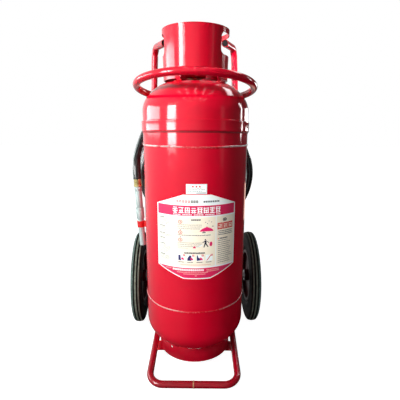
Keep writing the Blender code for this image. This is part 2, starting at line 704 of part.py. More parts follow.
def lead_points():
    """From the valve over the ring handle, then an S-bend down to the coil's left side."""
    points = [Vector((0, HOSE_START_Y, OUTLET_Z))]
    top = OUTLET_Z - HOSE_BEND
    for step in range(9):
        turn = math.radians(90 - 90 * step / 8)
        points.append(Vector((0, HOSE_BEND_Y + HOSE_BEND * math.cos(turn), top + HOSE_BEND * math.sin(turn))))
    drop = top - COIL_Z
    bend = (drop**2 + COIL_RADIUS**2) / (4 * COIL_RADIUS)
    sweep = math.asin(drop / (2 * bend))
    for step in range(1, 8):
        turn = sweep * step / 7
        points.append(Vector((-bend * (1 - math.cos(turn)), LEAD_Y, top - bend * math.sin(turn))))
    for step in range(1, 8):
        turn = sweep * (1 - step / 7)
        points.append(Vector((-COIL_RADIUS + bend * (1 - math.cos(turn)), LEAD_Y, COIL_Z + bend * math.sin(turn))))
    return points


TAIL_ROUTE = (
    (-0.045, 0.3460, 0.8955),
    (-0.090, 0.3440, 0.9020),
    (-0.130, 0.3260, 0.9030),
    (-0.163, 0.2910, 0.8950),
    (-0.183, 0.2460, 0.8760),
    (-0.192, 0.1980, 0.8520),
    (-0.1975, 0.1500, 0.8235),
    (-0.2045, 0.1060, 0.7890),
    (-0.2100, 0.0700, 0.7560),
    (-0.2115, 0.0460, 0.7250),
)


def tail_points():
    """The last turn behind the coil, then over the coil's shoulder and down to the spray gun."""
    tail_y = LEAD_Y + HOSE_PITCH * (COIL_TURNS + 1)
    turn_points = [coil_point(180 + 257 * step / 12, tail_y) for step in range(13)]
    up = (GUN_TOP - GUN_END).normalized()
    route = [Vector(point) for point in TAIL_ROUTE] + [GUN_TOP + up * 0.020]
    return smooth_curve(turn_points + route, 2) + [GUN_TOP + up * GAP]


def hose():
    hose_tube("hose_lead", lead_points())
    hose_tube("hose_tail", tail_points())
    front = LEAD_Y + HOSE_PITCH - HOSE_PITCH / 2 + GAP
    back = LEAD_Y + HOSE_PITCH * COIL_TURNS + HOSE_PITCH / 2 - GAP
    inner = COIL_RADIUS - HOSE_RADIUS
    outer = COIL_RADIUS + HOSE_RADIUS
    chamfer = 0.006
    outline = [
        (inner, front + chamfer), (inner + chamfer, front), (outer - chamfer, front), (outer, front + chamfer),
        (outer, back - chamfer), (outer - chamfer, back), (inner + chamfer, back), (inner, back - chamfer),
    ]
    turned("hose_coil", outline, RUBBER, TANK_SIDES, (0, 0, COIL_Z), (0, 1, 0))


def spray_gun():
    axis = GUN_END - GUN_TOP
    length = axis.length
    ferrule = tube_outline(0.0080, 0.0145, 0, FERRULE_LENGTH)
    turned("gun_ferrule", ferrule, GOLD_ZINC, 20, GUN_TOP, axis)
    start, end = COUPLING_SPAN
    tube = [(0.0090, FERRULE_LENGTH + GAP), (0.0130, FERRULE_LENGTH + GAP), (0.0120, start - GAP), (0.0090, start - GAP)]
    turned("gun_tube", tube, ALUMINIUM, 20, GUN_TOP, axis)
    coupling = [(0.0085, start), (0.0132, start), (0.0144, start + 0.003), (0.0144, end - 0.003), (0.0132, end)]
    turned("gun_coupling", coupling + [(0.0085, end)], ALUMINIUM, 20, GUN_TOP, axis)
    turned("gun_nozzle", tube_outline(0.0085, 0.0111, end + GAP, length), ALUMINIUM, 20, GUN_TOP, axis)

    clip = turned("gun_clip", tube_outline(0.0114, 0.0140, *CLIP_SPAN), RED_PLASTIC, 20, GUN_TOP, axis)
    middle = GUN_TOP + axis.normalized() * sum(CLIP_SPAN) / 2
    flat = Vector((middle.x, middle.y, 0))
    outline = [(-0.006, -0.010), (0.006, -0.010), (0.006, 0.010), (-0.006, 0.010)]
    base = prism("clip_base", outline, TANK_RADIUS + 0.0007, flat.length - 0.0122, RED_PLASTIC)
    base.location = (0, 0, middle.z)
    base.rotation_euler = (math.radians(90), 0, math.atan2(flat.x, -flat.y))
    combine(clip, base, "UNION")


def build():
    clear_scene()
    anchor = bpy.data.objects.new("tank_axis", None)
    anchor.location = (0, TANK_AXIS_Y, 0)
    bpy.context.scene.collection.objects.link(anchor)
    tank()
    valve_collar()
    foot_ring()
    hoop()
    labels()
    tube_frame()
    ring_handle()
    axle()
    for side in ("left", "right"):
        wheel(side)
    valve_body()
    valve_works()
    gauge()
    hose_nut()
    hose()
    spray_gun()


build()
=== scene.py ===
import math
import random

import bmesh
import bpy
from mathutils import Matrix, Vector
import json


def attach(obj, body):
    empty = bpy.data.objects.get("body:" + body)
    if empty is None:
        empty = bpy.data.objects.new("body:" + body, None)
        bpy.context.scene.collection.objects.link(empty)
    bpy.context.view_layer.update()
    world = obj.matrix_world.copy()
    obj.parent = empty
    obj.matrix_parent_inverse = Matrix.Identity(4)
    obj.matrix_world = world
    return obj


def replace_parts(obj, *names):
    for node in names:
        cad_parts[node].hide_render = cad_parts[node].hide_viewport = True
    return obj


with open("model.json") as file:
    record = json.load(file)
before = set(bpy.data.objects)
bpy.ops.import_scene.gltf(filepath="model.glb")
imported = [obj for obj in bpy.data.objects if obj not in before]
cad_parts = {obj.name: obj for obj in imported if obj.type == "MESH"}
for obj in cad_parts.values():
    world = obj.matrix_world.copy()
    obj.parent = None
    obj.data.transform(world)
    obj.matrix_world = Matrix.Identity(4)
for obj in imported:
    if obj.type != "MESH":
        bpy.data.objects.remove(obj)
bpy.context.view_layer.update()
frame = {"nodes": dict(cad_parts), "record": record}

BODY = "tank_and_frame"
AXIS_Y = -0.1319
TANK_RADIUS = 0.175
WHEEL_ALONG = 0.2430
random.seed(7)


def at(x, y, z):
    """A point given from the tank's axis on the floor, in the row frame."""
    return Vector((x, y + AXIS_Y, z))


# ---------------------------------------------------------------- camera


def add_camera():
    pitch, roll, yaw = math.radians(12.44), math.radians(0.36), math.radians(-0.24)
    forward = Vector((math.sin(yaw) * math.cos(pitch), math.cos(yaw) * math.cos(pitch), -math.sin(pitch)))
    right = Vector((math.cos(yaw), -math.sin(yaw), 0))
    up = right.cross(forward)
    across = right * math.cos(roll) + up * math.sin(roll)
    above = up * math.cos(roll) - right * math.sin(roll)
    place = Matrix.Identity(4)
    for column, axis in enumerate((across, above, -forward, at(0.022, -1.184, 0.864))):
        for row in range(3):
            place[row][column] = axis[row]
    data = bpy.data.cameras.new("camera")
    data.sensor_width = 36
    data.lens = 30.906
    data.clip_start = 0.02
    obj = bpy.data.objects.new("camera", data)
    obj.matrix_world = place
    bpy.context.scene.collection.objects.link(obj)
    bpy.context.scene.camera = obj


add_camera()


# ---------------------------------------------------------------- node helpers


class Shader:
    """A small helper that builds one Principled material from nodes."""

    def __init__(self, name, colour=(0.5, 0.5, 0.5), roughness=0.4, metallic=0.0, **sockets):
        self.material = bpy.data.materials.new(name)
        self.material.use_nodes = True
        self.nodes = self.material.node_tree.nodes
        self.links = self.material.node_tree.links
        self.main = self.nodes["Principled BSDF"]
        self.main.inputs["Base Color"].default_value = (*colour, 1)
        self.main.inputs["Roughness"].default_value = roughness
        self.main.inputs["Metallic"].default_value = metallic
        for socket, value in sockets.items():
            self.main.inputs[socket.replace("_", " ")].default_value = value
        self.material.diffuse_color = (*colour, 1)

    def node(self, kind, inputs=None, **settings):
        made = self.nodes.new(kind)
        for key, value in settings.items():
            setattr(made, key, value)
        for key, value in (inputs or {}).items():
            if isinstance(value, bpy.types.NodeSocket):
                self.links.new(value, made.inputs[key])
            else:
                made.inputs[key].default_value = value
        return made

    def place(self, scale=(1, 1, 1)):
        """Object coordinates, stretched."""
        coordinates = self.node("ShaderNodeTexCoord").outputs["Object"]
        return self.node("ShaderNodeMapping", {"Vector": coordinates, "Scale": scale}).outputs["Vector"]

    def noise(self, scale, detail=3.0, roughness=0.55, stretch=(1, 1, 1)):
        inputs = {"Vector": self.place(stretch), "Scale": scale, "Detail": detail, "Roughness": roughness}
        return self.node("ShaderNodeTexNoise", inputs).outputs["Fac"]

    def math(self, operation, first, second=0.0, third=0.0):
        return self.node("ShaderNodeMath", {0: first, 1: second, 2: third}, operation=operation).outputs[0]

    def remap(self, value, low, high, to_low, to_high):
        inputs = {"Value": value, "From Min": low, "From Max": high, "To Min": to_low, "To Max": to_high}
        return self.node("ShaderNodeMapRange", inputs).outputs["Result"]

    def mix(self, factor, first, second):
        made = self.node("ShaderNodeMix", data_type="RGBA")
        for index, value in ((0, factor), (6, first), (7, second)):
            if isinstance(value, bpy.types.NodeSocket):
                self.links.new(value, made.inputs[index])
            elif index == 0:
                made.inputs[index].default_value = value
            else:
                made.inputs[index].default_value = (*value, 1)
        return made.outputs[2]

    def colour(self, value):
        self.links.new(value, self.main.inputs["Base Color"])
        return self

    def roughness(self, value):
        self.links.new(value, self.main.inputs["Roughness"])
        return self

    def bump(self, height, strength, distance):
        inputs = {"Height": height, "Strength": strength, "Distance": distance}
        previous = self.main.inputs["Normal"].links
        if previous:
            inputs["Normal"] = previous[0].from_socket
        self.links.new(self.node("ShaderNodeBump", inputs).outputs["Normal"], self.main.inputs["Normal"])
        return self


def red_enamel():
    """Gloss red enamel: slight colour drift, fine orange peel and long soft waves in the gloss."""
    made = Shader("red_enamel", (0.85, 0.002, 0.028), 0.12, IOR=1.5)
    cloud = made.remap(made.noise(7.0, 4.0), 0.3, 0.7, 0.0, 1.0)
    made.colour(made.mix(cloud, (0.80, 0.002, 0.025), (0.88, 0.003, 0.030)))
    made.roughness(made.remap(made.noise(38.0, 5.0), 0.3, 0.7, 0.07, 0.15))
    made.bump(made.noise(9.0, 2.0, stretch=(1, 1, 0.35)), 0.22, 0.004)
    made.bump(made.noise(420.0, 2.0), 0.05, 0.0008)
    return made.material


def dome_enamel():
    """The tank's enamel, painted near black inside the collar as shade, where the collar shadows the dome."""
    made = Shader("dome_enamel", (0.85, 0.002, 0.028), 0.12, IOR=1.5)
    parts = made.node("ShaderNodeSeparateXYZ", {"Vector": made.node("ShaderNodeTexCoord").outputs["Object"]}).outputs
    across = made.math("MULTIPLY", parts[0], parts[0])
    reach = made.math("SQRT", made.math("MULTIPLY_ADD", parts[1], parts[1], across))
    # Painted shade: the dome's colour goes near black inside the collar's radius, standing for the collar's shadow.
    painted_shade_in_collar = made.remap(reach, 0.0985, 0.1045, 1.0, 0.0)
    cloud = made.remap(made.noise(7.0, 4.0), 0.3, 0.7, 0.0, 1.0)
    fresh = made.mix(cloud, (0.80, 0.002, 0.025), (0.88, 0.003, 0.030))
    made.colour(made.mix(painted_shade_in_collar, fresh, (0.035, 0.003, 0.004)))
    made.roughness(made.remap(made.noise(38.0, 5.0), 0.3, 0.7, 0.07, 0.15))
    made.bump(made.noise(9.0, 2.0, stretch=(1, 1, 0.35)), 0.22, 0.004)
    made.bump(made.noise(420.0, 2.0), 0.05, 0.0008)
    return made.material


def tube_enamel():
    """The same enamel on tube and plate, a little duller, and painted darker towards the floor as shade."""
    made = Shader("tube_enamel", (0.76, 0.003, 0.028), 0.2, IOR=1.5)
    cloud = made.remap(made.noise(14.0, 4.0), 0.3, 0.7, 0.0, 1.0)
    fresh = made.mix(cloud, (0.68, 0.003, 0.024), (0.82, 0.004, 0.032))
    height = made.node("ShaderNodeSeparateXYZ", {"Vector": made.node("ShaderNodeTexCoord").outputs["Object"]}).outputs[2]
    # Painted shade: the colour darkens towards the floor, standing for light that falls off low down and under the
    # tank.
    painted_shade_near_floor = made.math("MULTIPLY", made.remap(height, 0.02, 0.14, 1.0, 0.0), made.remap(cloud, 0.0, 1.0, 1.0, 0.7))
    made.colour(made.mix(painted_shade_near_floor, fresh, (0.36, 0.0015, 0.011)))
    made.roughness(made.remap(made.noise(60.0, 5.0), 0.3, 0.7, 0.12, 0.26))
    made.bump(made.noise(25.0, 3.0), 0.15, 0.002)
    made.bump(made.noise(500.0, 2.0), 0.08, 0.0008)
    return made.material


def weld_enamel():
    """Enamel over a weld bead, rippled along its length."""
    made = Shader("weld_enamel", (0.78, 0.008, 0.022), 0.16, IOR=1.6)
    made.colour(made.mix(made.noise(90.0, 3.0), (0.70, 0.006, 0.019), (0.86, 0.010, 0.026)))
    made.roughness(made.remap(made.noise(160.0, 3.0), 0.3, 0.7, 0.08, 0.28))
    made.bump(made.noise(210.0, 3.0), 0.5, 0.0015)
    return made.material


def seam_enamel():
    """Enamel over the tank's seams, with painted highlights: pale dashes along the bead, stronger away from the middle
    and on the upper seam, where glints fall.
    """
    made = Shader("seam_enamel", (0.78, 0.008, 0.022), 0.2, IOR=1.6)
    parts = made.node("ShaderNodeSeparateXYZ", {"Vector": made.node("ShaderNodeTexCoord").outputs["Object"]}).outputs
    # Painted highlight: the pale dashes below stand for glints on the bead, not worn paint.
    dashes = made.remap(made.noise(34.0, 3.0), 0.33, 0.46, 0.0, 1.0)
    side = made.remap(made.math("ABSOLUTE", made.math("ADD", parts[0], -0.02)), 0.045, 0.10, 0.10, 0.85)
    height = made.remap(parts[2], 0.4, 0.7, 0.55, 1.0)
    painted_highlight_mask = made.math("MULTIPLY", made.math("MULTIPLY", dashes, side), height)
    made.colour(made.mix(painted_highlight_mask, (0.78, 0.006, 0.020), (0.84, 0.66, 0.66)))
    made.roughness(made.remap(made.noise(160.0, 3.0), 0.3, 0.7, 0.12, 0.34))
    made.bump(made.noise(210.0, 3.0), 0.5, 0.0015)
    return made.material


def hoop_shadow_enamel():
    """Dull dark enamel for the painted shadow that the hoop casts on the barrel."""
    made = Shader("hoop_shadow_enamel", (0.40, 0.005, 0.018), 0.45, IOR=1.45)
    made.colour(made.mix(made.noise(60.0, 4.0), (0.44, 0.006, 0.020), (0.62, 0.009, 0.030)))
    made.roughness(made.remap(made.noise(90.0, 3.0), 0.3, 0.7, 0.38, 0.6))
    made.bump(made.noise(300.0, 2.0), 0.15, 0.0006)
    return made.material


def hose_rubber():
    made = Shader("hose_rubber", (0.012, 0.012, 0.012), 0.28, IOR=1.5, Specular_IOR_Level=0.62)
    dust = made.remap(made.noise(45.0, 5.0), 0.5, 0.8, 0.0, 1.0)
    made.colour(made.mix(dust, (0.008, 0.009, 0.009), (0.014, 0.016, 0.016)))
    made.roughness(made.remap(made.noise(90.0, 4.0), 0.3, 0.7, 0.22, 0.28))
    made.bump(made.noise(160.0, 2.0), 0.008, 0.0005)
    return made.material


def metal(name, colour, low, high, scale=120.0, stretch=(1, 1, 1), bump=0.05, metallic=1.0):
    made = Shader(name, colour, (low + high) / 2, metallic)
    tint = made.remap(made.noise(scale / 4, 3.0, stretch=stretch), 0.3, 0.7, 0.0, 1.0)
    made.colour(made.mix(tint, tuple(c * 0.86 for c in colour), colour))
    made.roughness(made.remap(made.noise(scale, 4.0, stretch=stretch), 0.3, 0.7, low, high))
    made.bump(made.noise(scale * 3, 2.0, stretch=stretch), bump, 0.0004)
    return made.material


def plastic(name, colour, roughness, scale=260.0, strength=0.12):
    made = Shader(name, colour, roughness, IOR=1.49)
    made.colour(made.mix(made.noise(30.0, 3.0), tuple(c * 0.85 for c in colour), colour))
    made.roughness(made.remap(made.noise(80.0, 3.0), 0.3, 0.7, roughness * 0.8, roughness * 1.25))
    made.bump(made.noise(scale, 2.0), strength, 0.0005)
    return made.material


def film(name, colour):
    """Printed self-adhesive film, with a faint cockle."""
    made = Shader(name, colour, 0.42, IOR=1.46)
    made.colour(made.mix(made.noise(55.0, 4.0), tuple(c * 0.93 for c in colour), colour))
    made.roughness(made.remap(made.noise(70.0, 2.0), 0.3, 0.7, 0.34, 0.5))
    made.bump(made.noise(40.0, 2.0), 0.05, 0.001)
    return made.material


def tyre_rubber():
    """Moulded rubber. Its ribs are pale on top, dust and painted highlight together, and black between; a painted teal
    sheen runs round the outer shoulder, and the sidewalls are darker.
    """
    made = Shader("tyre_rubber", (0.02, 0.02, 0.02), 0.6, IOR=1.3, Specular_IOR_Level=0.06)
    coordinates = made.node("ShaderNodeTexCoord").outputs["Object"]
    parts = made.node("ShaderNodeSeparateXYZ", {"Vector": coordinates}).outputs
    across = made.math("MULTIPLY", parts[0], parts[0])
    reach = made.math("SQRT", made.math("MULTIPLY_ADD", parts[1], parts[1], across))
    side = made.remap(parts[2], WHEEL_ALONG - 0.02, WHEEL_ALONG + 0.02, 0.0, 1.0)
    ramp = made.node("ShaderNodeValToRGB", {"Fac": side})
    # Painted light: the pale rib tops are dust and painted highlight, and the teal band on the outer shoulder is a
    # painted sheen.
    black, pale_dust_and_highlight, teal_sheen, shade = (0.004, 0.003, 0.003, 1), (0.34, 0.42, 0.33, 1), (0.24, 0.36, 0.32, 1), (0.03, 0.04, 0.035, 1)
    stops = ((0.0, black), (0.10, black), (0.125, pale_dust_and_highlight), (0.25, pale_dust_and_highlight), (0.27, black), (0.405, black), (0.425, pale_dust_and_highlight))
    stops += ((0.565, pale_dust_and_highlight), (0.585, black), (0.635, black), (0.65, shade), (0.68, shade), (0.70, black), (0.735, black))
    stops += ((0.755, teal_sheen), (0.90, teal_sheen), (0.97, shade), (1.0, shade))
    elements = ramp.color_ramp.elements
    while len(elements) < len(stops):
        elements.new(0.5)
    for element, (position, colour) in zip(elements, stops):
        element.position = position
        element.color = colour
    # The mask below picks out the tread band, where the ribs' dust and painted highlights show.
    painted_highlight_mask = made.remap(reach, 0.1860, 0.1935, 0.0, 1.0)
    dust = made.remap(made.noise(70.0, 6.0, 0.65), 0.30, 0.72, 0.45, 1.0)
    scuffs = made.remap(made.noise(26.0, 5.0, 0.6), 0.42, 0.70, 0.0, 1.0)
    sidewall = made.mix(scuffs, (0.005, 0.005, 0.005), (0.024, 0.024, 0.022))
    made.colour(made.mix(made.math("MULTIPLY", painted_highlight_mask, dust), sidewall, ramp.outputs["Color"]))
    made.roughness(made.remap(made.noise(110.0, 4.0), 0.3, 0.7, 0.42, 0.68))
    made.bump(made.noise(380.0, 4.0), 0.2, 0.0008)
    return made.material


def shaded_rim_enamel():
    """Red enamel of the wheel rims, painted near black as shade, since the rims sit in the tank's deep shadow; the
    cloud is colour drift.
    """
    made = Shader("shaded_rim_enamel", (0.05, 0.003, 0.006), 0.3, IOR=1.4, Specular_IOR_Level=0.12)
    cloud = made.remap(made.noise(20.0, 4.0), 0.35, 0.7, 0.0, 1.0)
    made.colour(made.mix(cloud, (0.030, 0.002, 0.003), (0.075, 0.004, 0.008)))
    made.roughness(made.remap(made.noise(50.0, 4.0), 0.3, 0.7, 0.22, 0.45))
    made.bump(made.noise(300.0, 2.0), 0.1, 0.0008)
    return made.material


RED = red_enamel()
DOME_RED = dome_enamel()
TUBE_RED = tube_enamel()
WELD_RED = weld_enamel()
SEAM_RED = seam_enamel()
HOOP_SHADOW_RED = hoop_shadow_enamel()
RUBBER = hose_rubber()
TYRE = tyre_rubber()
SHADED_RIM_RED = shaded_rim_enamel()
BRASS = metal("machined_brass", (0.78, 0.56, 0.27), 0.20, 0.34)
ZINC = metal("zinc_plate", (0.60, 0.61, 0.62), 0.26, 0.42)
GOLD = metal("yellow_zinc_plate", (0.76, 0.66, 0.30), 0.22, 0.38)
ALUMINIUM = metal("satin_aluminium", (0.66, 0.82, 0.79), 0.16, 0.28, 160.0, (1, 1, 0.15), 0.03, 0.30)
BARE_WELD = metal("bare_weld", (0.70, 0.40, 0.20), 0.30, 0.48, 300.0, (1, 1, 1), 0.3, 0.4)
BLACK_PLASTIC = plastic("black_plastic", (0.014, 0.014, 0.015), 0.42)
RED_PLASTIC = plastic("red_plastic", (0.82, 0.012, 0.014), 0.22, 120.0, 0.05)
CREAM = film("film_cream", (0.93, 0.84, 0.68))
IVORY = film("film_ivory", (0.93, 0.93, 0.80))
WHITE = film("film_white", (0.93, 0.97, 0.95))
PALE_BLUE = film("film_pale_blue", (0.62, 0.76, 0.84))
CRIMSON = film("ink_crimson", (0.70, 0.008, 0.085))
GREY_INK = film("ink_grey", (0.15, 0.13, 0.11))
DARK_INK = film("ink_dark", (0.018, 0.018, 0.028))
NAVY = film("ink_navy", (0.012, 0.012, 0.10))
MAGENTA = film("ink_magenta", (0.80, 0.004, 0.13))
RED_INK = film("ink_red", (0.72, 0.022, 0.022))
PINK_INK = film("ink_pink", (0.80, 0.36, 0.34))


def gauge_glass():
    made = Shader("gauge_glass", (0.92, 0.95, 0.95), 0.04, IOR=1.45, Transmission_Weight=0.9)
    made.colour(made.mix(made.noise(60.0, 3.0), (0.90, 0.93, 0.93), (0.94, 0.97, 0.97)))
    made.roughness(made.remap(made.noise(60.0, 3.0), 0.3, 0.7, 0.02, 0.08))
    return made.material


GLASS = gauge_glass()


# ---------------------------------------------------------------- mesh helpers


def finish_mesh(name, bm, material, body=BODY, smooth=35, place=None):
    """Turns a bmesh in row coordinates into a piece. place moves its origin, so that it turns there."""
    bmesh.ops.remove_doubles(bm, verts=bm.verts, dist=1e-6)
    bmesh.ops.recalc_face_normals(bm, faces=bm.faces)
    mesh = bpy.data.meshes.new(name)
    bm.to_mesh(mesh)
    bm.free()
    mesh.shade_smooth()
    mesh.set_sharp_from_angle(angle=math.radians(smooth))
    for each in material if isinstance(material, (list, tuple)) else [material]:
        mesh.materials.append(each)
    obj = bpy.data.objects.new(name, mesh)
    if place is not None:
        obj.matrix_world = place
    bpy.context.scene.collection.objects.link(obj)
    bpy.context.view_layer.update()
    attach(obj, body)
    return obj


def facing(origin, direction):
    """A matrix at origin whose Z axis points along direction."""
    turn = Vector((0, 0, 1)).rotation_difference(Vector(direction))
    return Matrix.Translation(origin) @ turn.to_matrix().to_4x4()


def turned(name, outline, material, sides=96, place=None, body=BODY, smooth=35):
    """Spins (radius, height) points round the local Z axis of place."""
    bm = bmesh.new()
    rings = []
    for step in range(sides):
        turn = math.tau * step / sides
        rings.append([bm.verts.new((r * math.cos(turn), r * math.sin(turn), h)) for r, h in outline])
    hollow = min(r for r, _ in outline) > 1e-7
    count = len(outline)
    for first, second in zip(rings, rings[1:] + rings[:1]):
        for index in range(count if hollow else count - 1):
            following = (index + 1) % count
            corners = [first[index], first[following], second[following], second[index]]
            flat = [v for v, (r, _) in zip(corners, [outline[i] for i in (index, following, following, index)])]
            bm.faces.new(flat)
    bmesh.ops.dissolve_degenerate(bm, dist=1e-6, edges=bm.edges)
    return finish_mesh(name, bm, material, body, smooth, place or Matrix.Translation(at(0, 0, 0)))


def arc_points(centre, radius, start, end, steps):
    """Points of an arc in (radius, height) space, in degrees."""
    turns = [math.radians(start + (end - start) * step / steps) for step in range(steps + 1)]
    return [(centre[0] + radius * math.cos(t), centre[1] + radius * math.sin(t)) for t in turns]


def rounded_path(corners, radii, steps=12):
    points = [Vector(corners[0])]
    for before, corner, after, radius in zip(corners, corners[1:], corners[2:], radii):
        corner = Vector(corner)
        back = (Vector(before) - corner).normalized()
        ahead = (Vector(after) - corner).normalized()
        half_angle = back.angle(ahead) / 2
        centre = corner + (back + ahead).normalized() * radius / math.sin(half_angle)
        start = (corner + back * radius / math.tan(half_angle) - centre).normalized()
        end = (corner + ahead * radius / math.tan(half_angle) - centre).normalized()
        points += [centre + start.slerp(end, step / steps) * radius for step in range(steps + 1)]
    return points + [Vector(corners[-1])]


def swept(name, path, outer, inner, material, sides=28, body=BODY, closed=False, wobble=None):
    """A tube along a path. With inner it is hollow and open at its ends, else it has caps."""
    bm = bmesh.new()
    rings = []
    side = None
    for index, point in enumerate(path):
        before = path[max(index - 1, 0)]
        after = path[min(index + 1, len(path) - 1)]
        ahead = (after - before).normalized()
        if side is not None:
            side = (side - ahead * side.dot(ahead)).normalized()
        elif abs(ahead.z) > 0.9:
            side = ahead.orthogonal().normalized()
        else:
            side = ahead.cross(Vector((0, 0, 1))).normalized()
        up = side.cross(ahead)
        section = []
        for radius in (outer, inner) if inner else (outer,):
            reach = radius * (1 if wobble is None else wobble(index))
            section.append([
                bm.verts.new(point + (side * math.sin(angle) + up * math.cos(angle)) * reach)
                for angle in (math.tau * (step + 0.5) / sides for step in range(sides))
            ])
        rings.append(section)
    for first, second in zip(rings, rings[1:]):
        for wall in range(len(first)):
            for i in range(sides):
                j = (i + 1) % sides
                bm.faces.new((first[wall][i], first[wall][j], second[wall][j], second[wall][i]))
    for end in (rings[0], rings[-1]):
        if inner:
            for i in range(sides):
                j = (i + 1) % sides
                bm.faces.new((end[0][i], end[0][j], end[1][j], end[1][i]))
        else:
            bm.faces.new(end[0])
    return finish_mesh(name, bm, material, body, 40)


def blob(name, centre, size, material, axis=(0, 0, 1), seed=0, body=BODY):
    """A small lumpy weld blob."""
    bm = bmesh.new()
    bmesh.ops.create_icosphere(bm, subdivisions=3, radius=1.0)
    rng = random.Random(seed)
    shift = [rng.uniform(-9, 9) for _ in range(3)]
    for vertex in bm.verts:
        p = vertex.co.copy()
        lump = 1 + 0.13 * math.sin(5 * p.x + shift[0]) + 0.10 * math.sin(6 * p.y + shift[1]) + 0.08 * math.sin(7 * p.z + shift[2])
        vertex.co = Vector((p.x * size[0], p.y * size[1], p.z * size[2])) * lump
    turn = Vector((0, 0, 1)).rotation_difference(Vector(axis)).to_matrix().to_4x4()
    bm.transform(Matrix.Translation(centre) @ turn)
    return finish_mesh(name, bm, material, body, 60)


# ---------------------------------------------------------------- hose

HOSE_RADIUS = 0.015
HOSE_PITCH = 0.031
OUTLET_Z = 1.070
HOSE_START_Y = 0.0885
HOSE_BEND_Y = 0.0965
HOSE_BEND = 0.1255
LEAD_Y = 0.222
COIL_RADIUS = 0.2225
COIL_Z = 0.660
COIL_TURNS = 3
GUN_TOP = at(-0.2085, 0.035, 0.671)
GUN_END = at(-0.1938, 0.025, 0.427)
GUN_AXIS = (GUN_END - GUN_TOP).normalized()

TAIL_ROUTE = (
    (-0.045, 0.3460, 0.8955),
    (-0.090, 0.3440, 0.9020),
    (-0.130, 0.3260, 0.9030),
    (-0.163, 0.2910, 0.8950),
    (-0.183, 0.2460, 0.8760),
    (-0.192, 0.1980, 0.8520),
    (-0.1975, 0.1500, 0.8235),
    (-0.2045, 0.1060, 0.7890),
    (-0.2100, 0.0700, 0.7560),
    (-0.2115, 0.0460, 0.7250),
)


def smooth_curve(points, steps):
    """A Catmull-Rom curve through the points."""
    ends = [points[0] * 2 - points[1]] + points + [points[-1] * 2 - points[-2]]
    curve = []
    for a, b, c, d in zip(ends, ends[1:], ends[2:], ends[3:]):
        for step in range(steps):
            t = step / steps
            curve.append(
                (b * 2 + (c - a) * t + (a * 2 - b * 5 + c * 4 - d) * t**2 + (b * 3 - a - c * 3 + d) * t**3) / 2
            )
    return curve + [points[-1]]


def hose_route():
    """The whole hose, from the valve over the ring handle, round the coil and down to the gun."""
    points = [at(0, HOSE_START_Y, OUTLET_Z)]
    top = OUTLET_Z - HOSE_BEND
    for step in range(13):
        turn = math.radians(90 - 90 * step / 12)
        points.append(at(0, HOSE_BEND_Y + HOSE_BEND * math.cos(turn), top + HOSE_BEND * math.sin(turn)))
    drop = top - COIL_Z
    bend = (drop**2 + COIL_RADIUS**2) / (4 * COIL_RADIUS)
    sweep = math.asin(drop / (2 * bend))
    for step in range(1, 11):
        turn = sweep * step / 10
        points.append(at(-bend * (1 - math.cos(turn)), LEAD_Y, top - bend * math.sin(turn)))
    for step in range(1, 10):
        turn = sweep * (1 - step / 10)
        points.append(at(-COIL_RADIUS + bend * (1 - math.cos(turn)), LEAD_Y, COIL_Z + bend * math.sin(turn)))
    # From the left side of the coil down and round, with each step back to the next layer in one quarter.
    for turn_number in range(COIL_TURNS + 1):
        for step in range(24):
            degrees = step * 15
            if turn_number == COIL_TURNS and degrees > 257:
                break
            share = min(degrees / 105, 1.0)
            share = share * share * (3 - 2 * share)
            y = LEAD_Y + HOSE_PITCH * (turn_number + share)
            angle = math.radians(180 + degrees)
            points.append(at(COIL_RADIUS * math.cos(angle), y, COIL_Z + COIL_RADIUS * math.sin(angle)))
    points += [at(*point) for point in TAIL_ROUTE]
    points += [GUN_TOP - GUN_AXIS * 0.020]
    return smooth_curve(points, 3) + [GUN_TOP - GUN_AXIS * 0.0003]


def add_hose():
    route = hose_route()
    length = sum((b - a).length for a, b in zip(route, route[1:]))
    curve = bpy.data.curves.new("hose", "CURVE")
    curve.dimensions = "3D"
    curve.bevel_depth = HOSE_RADIUS
    curve.bevel_resolution = 8
    curve.use_fill_caps = True
    spline = curve.splines.new("POLY")
    spline.points.add(len(route) - 1)
    for target, point in zip(spline.points, route):
        target.co = (*point, 1)
    spline.use_smooth = True
    curve.materials.append(RUBBER)
    obj = bpy.data.objects.new("hose", curve)
    bpy.context.scene.collection.objects.link(obj)
    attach(obj, BODY)
    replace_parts(obj, "hose_lead", "hose_coil", "hose_tail")
    return obj, route[0], length


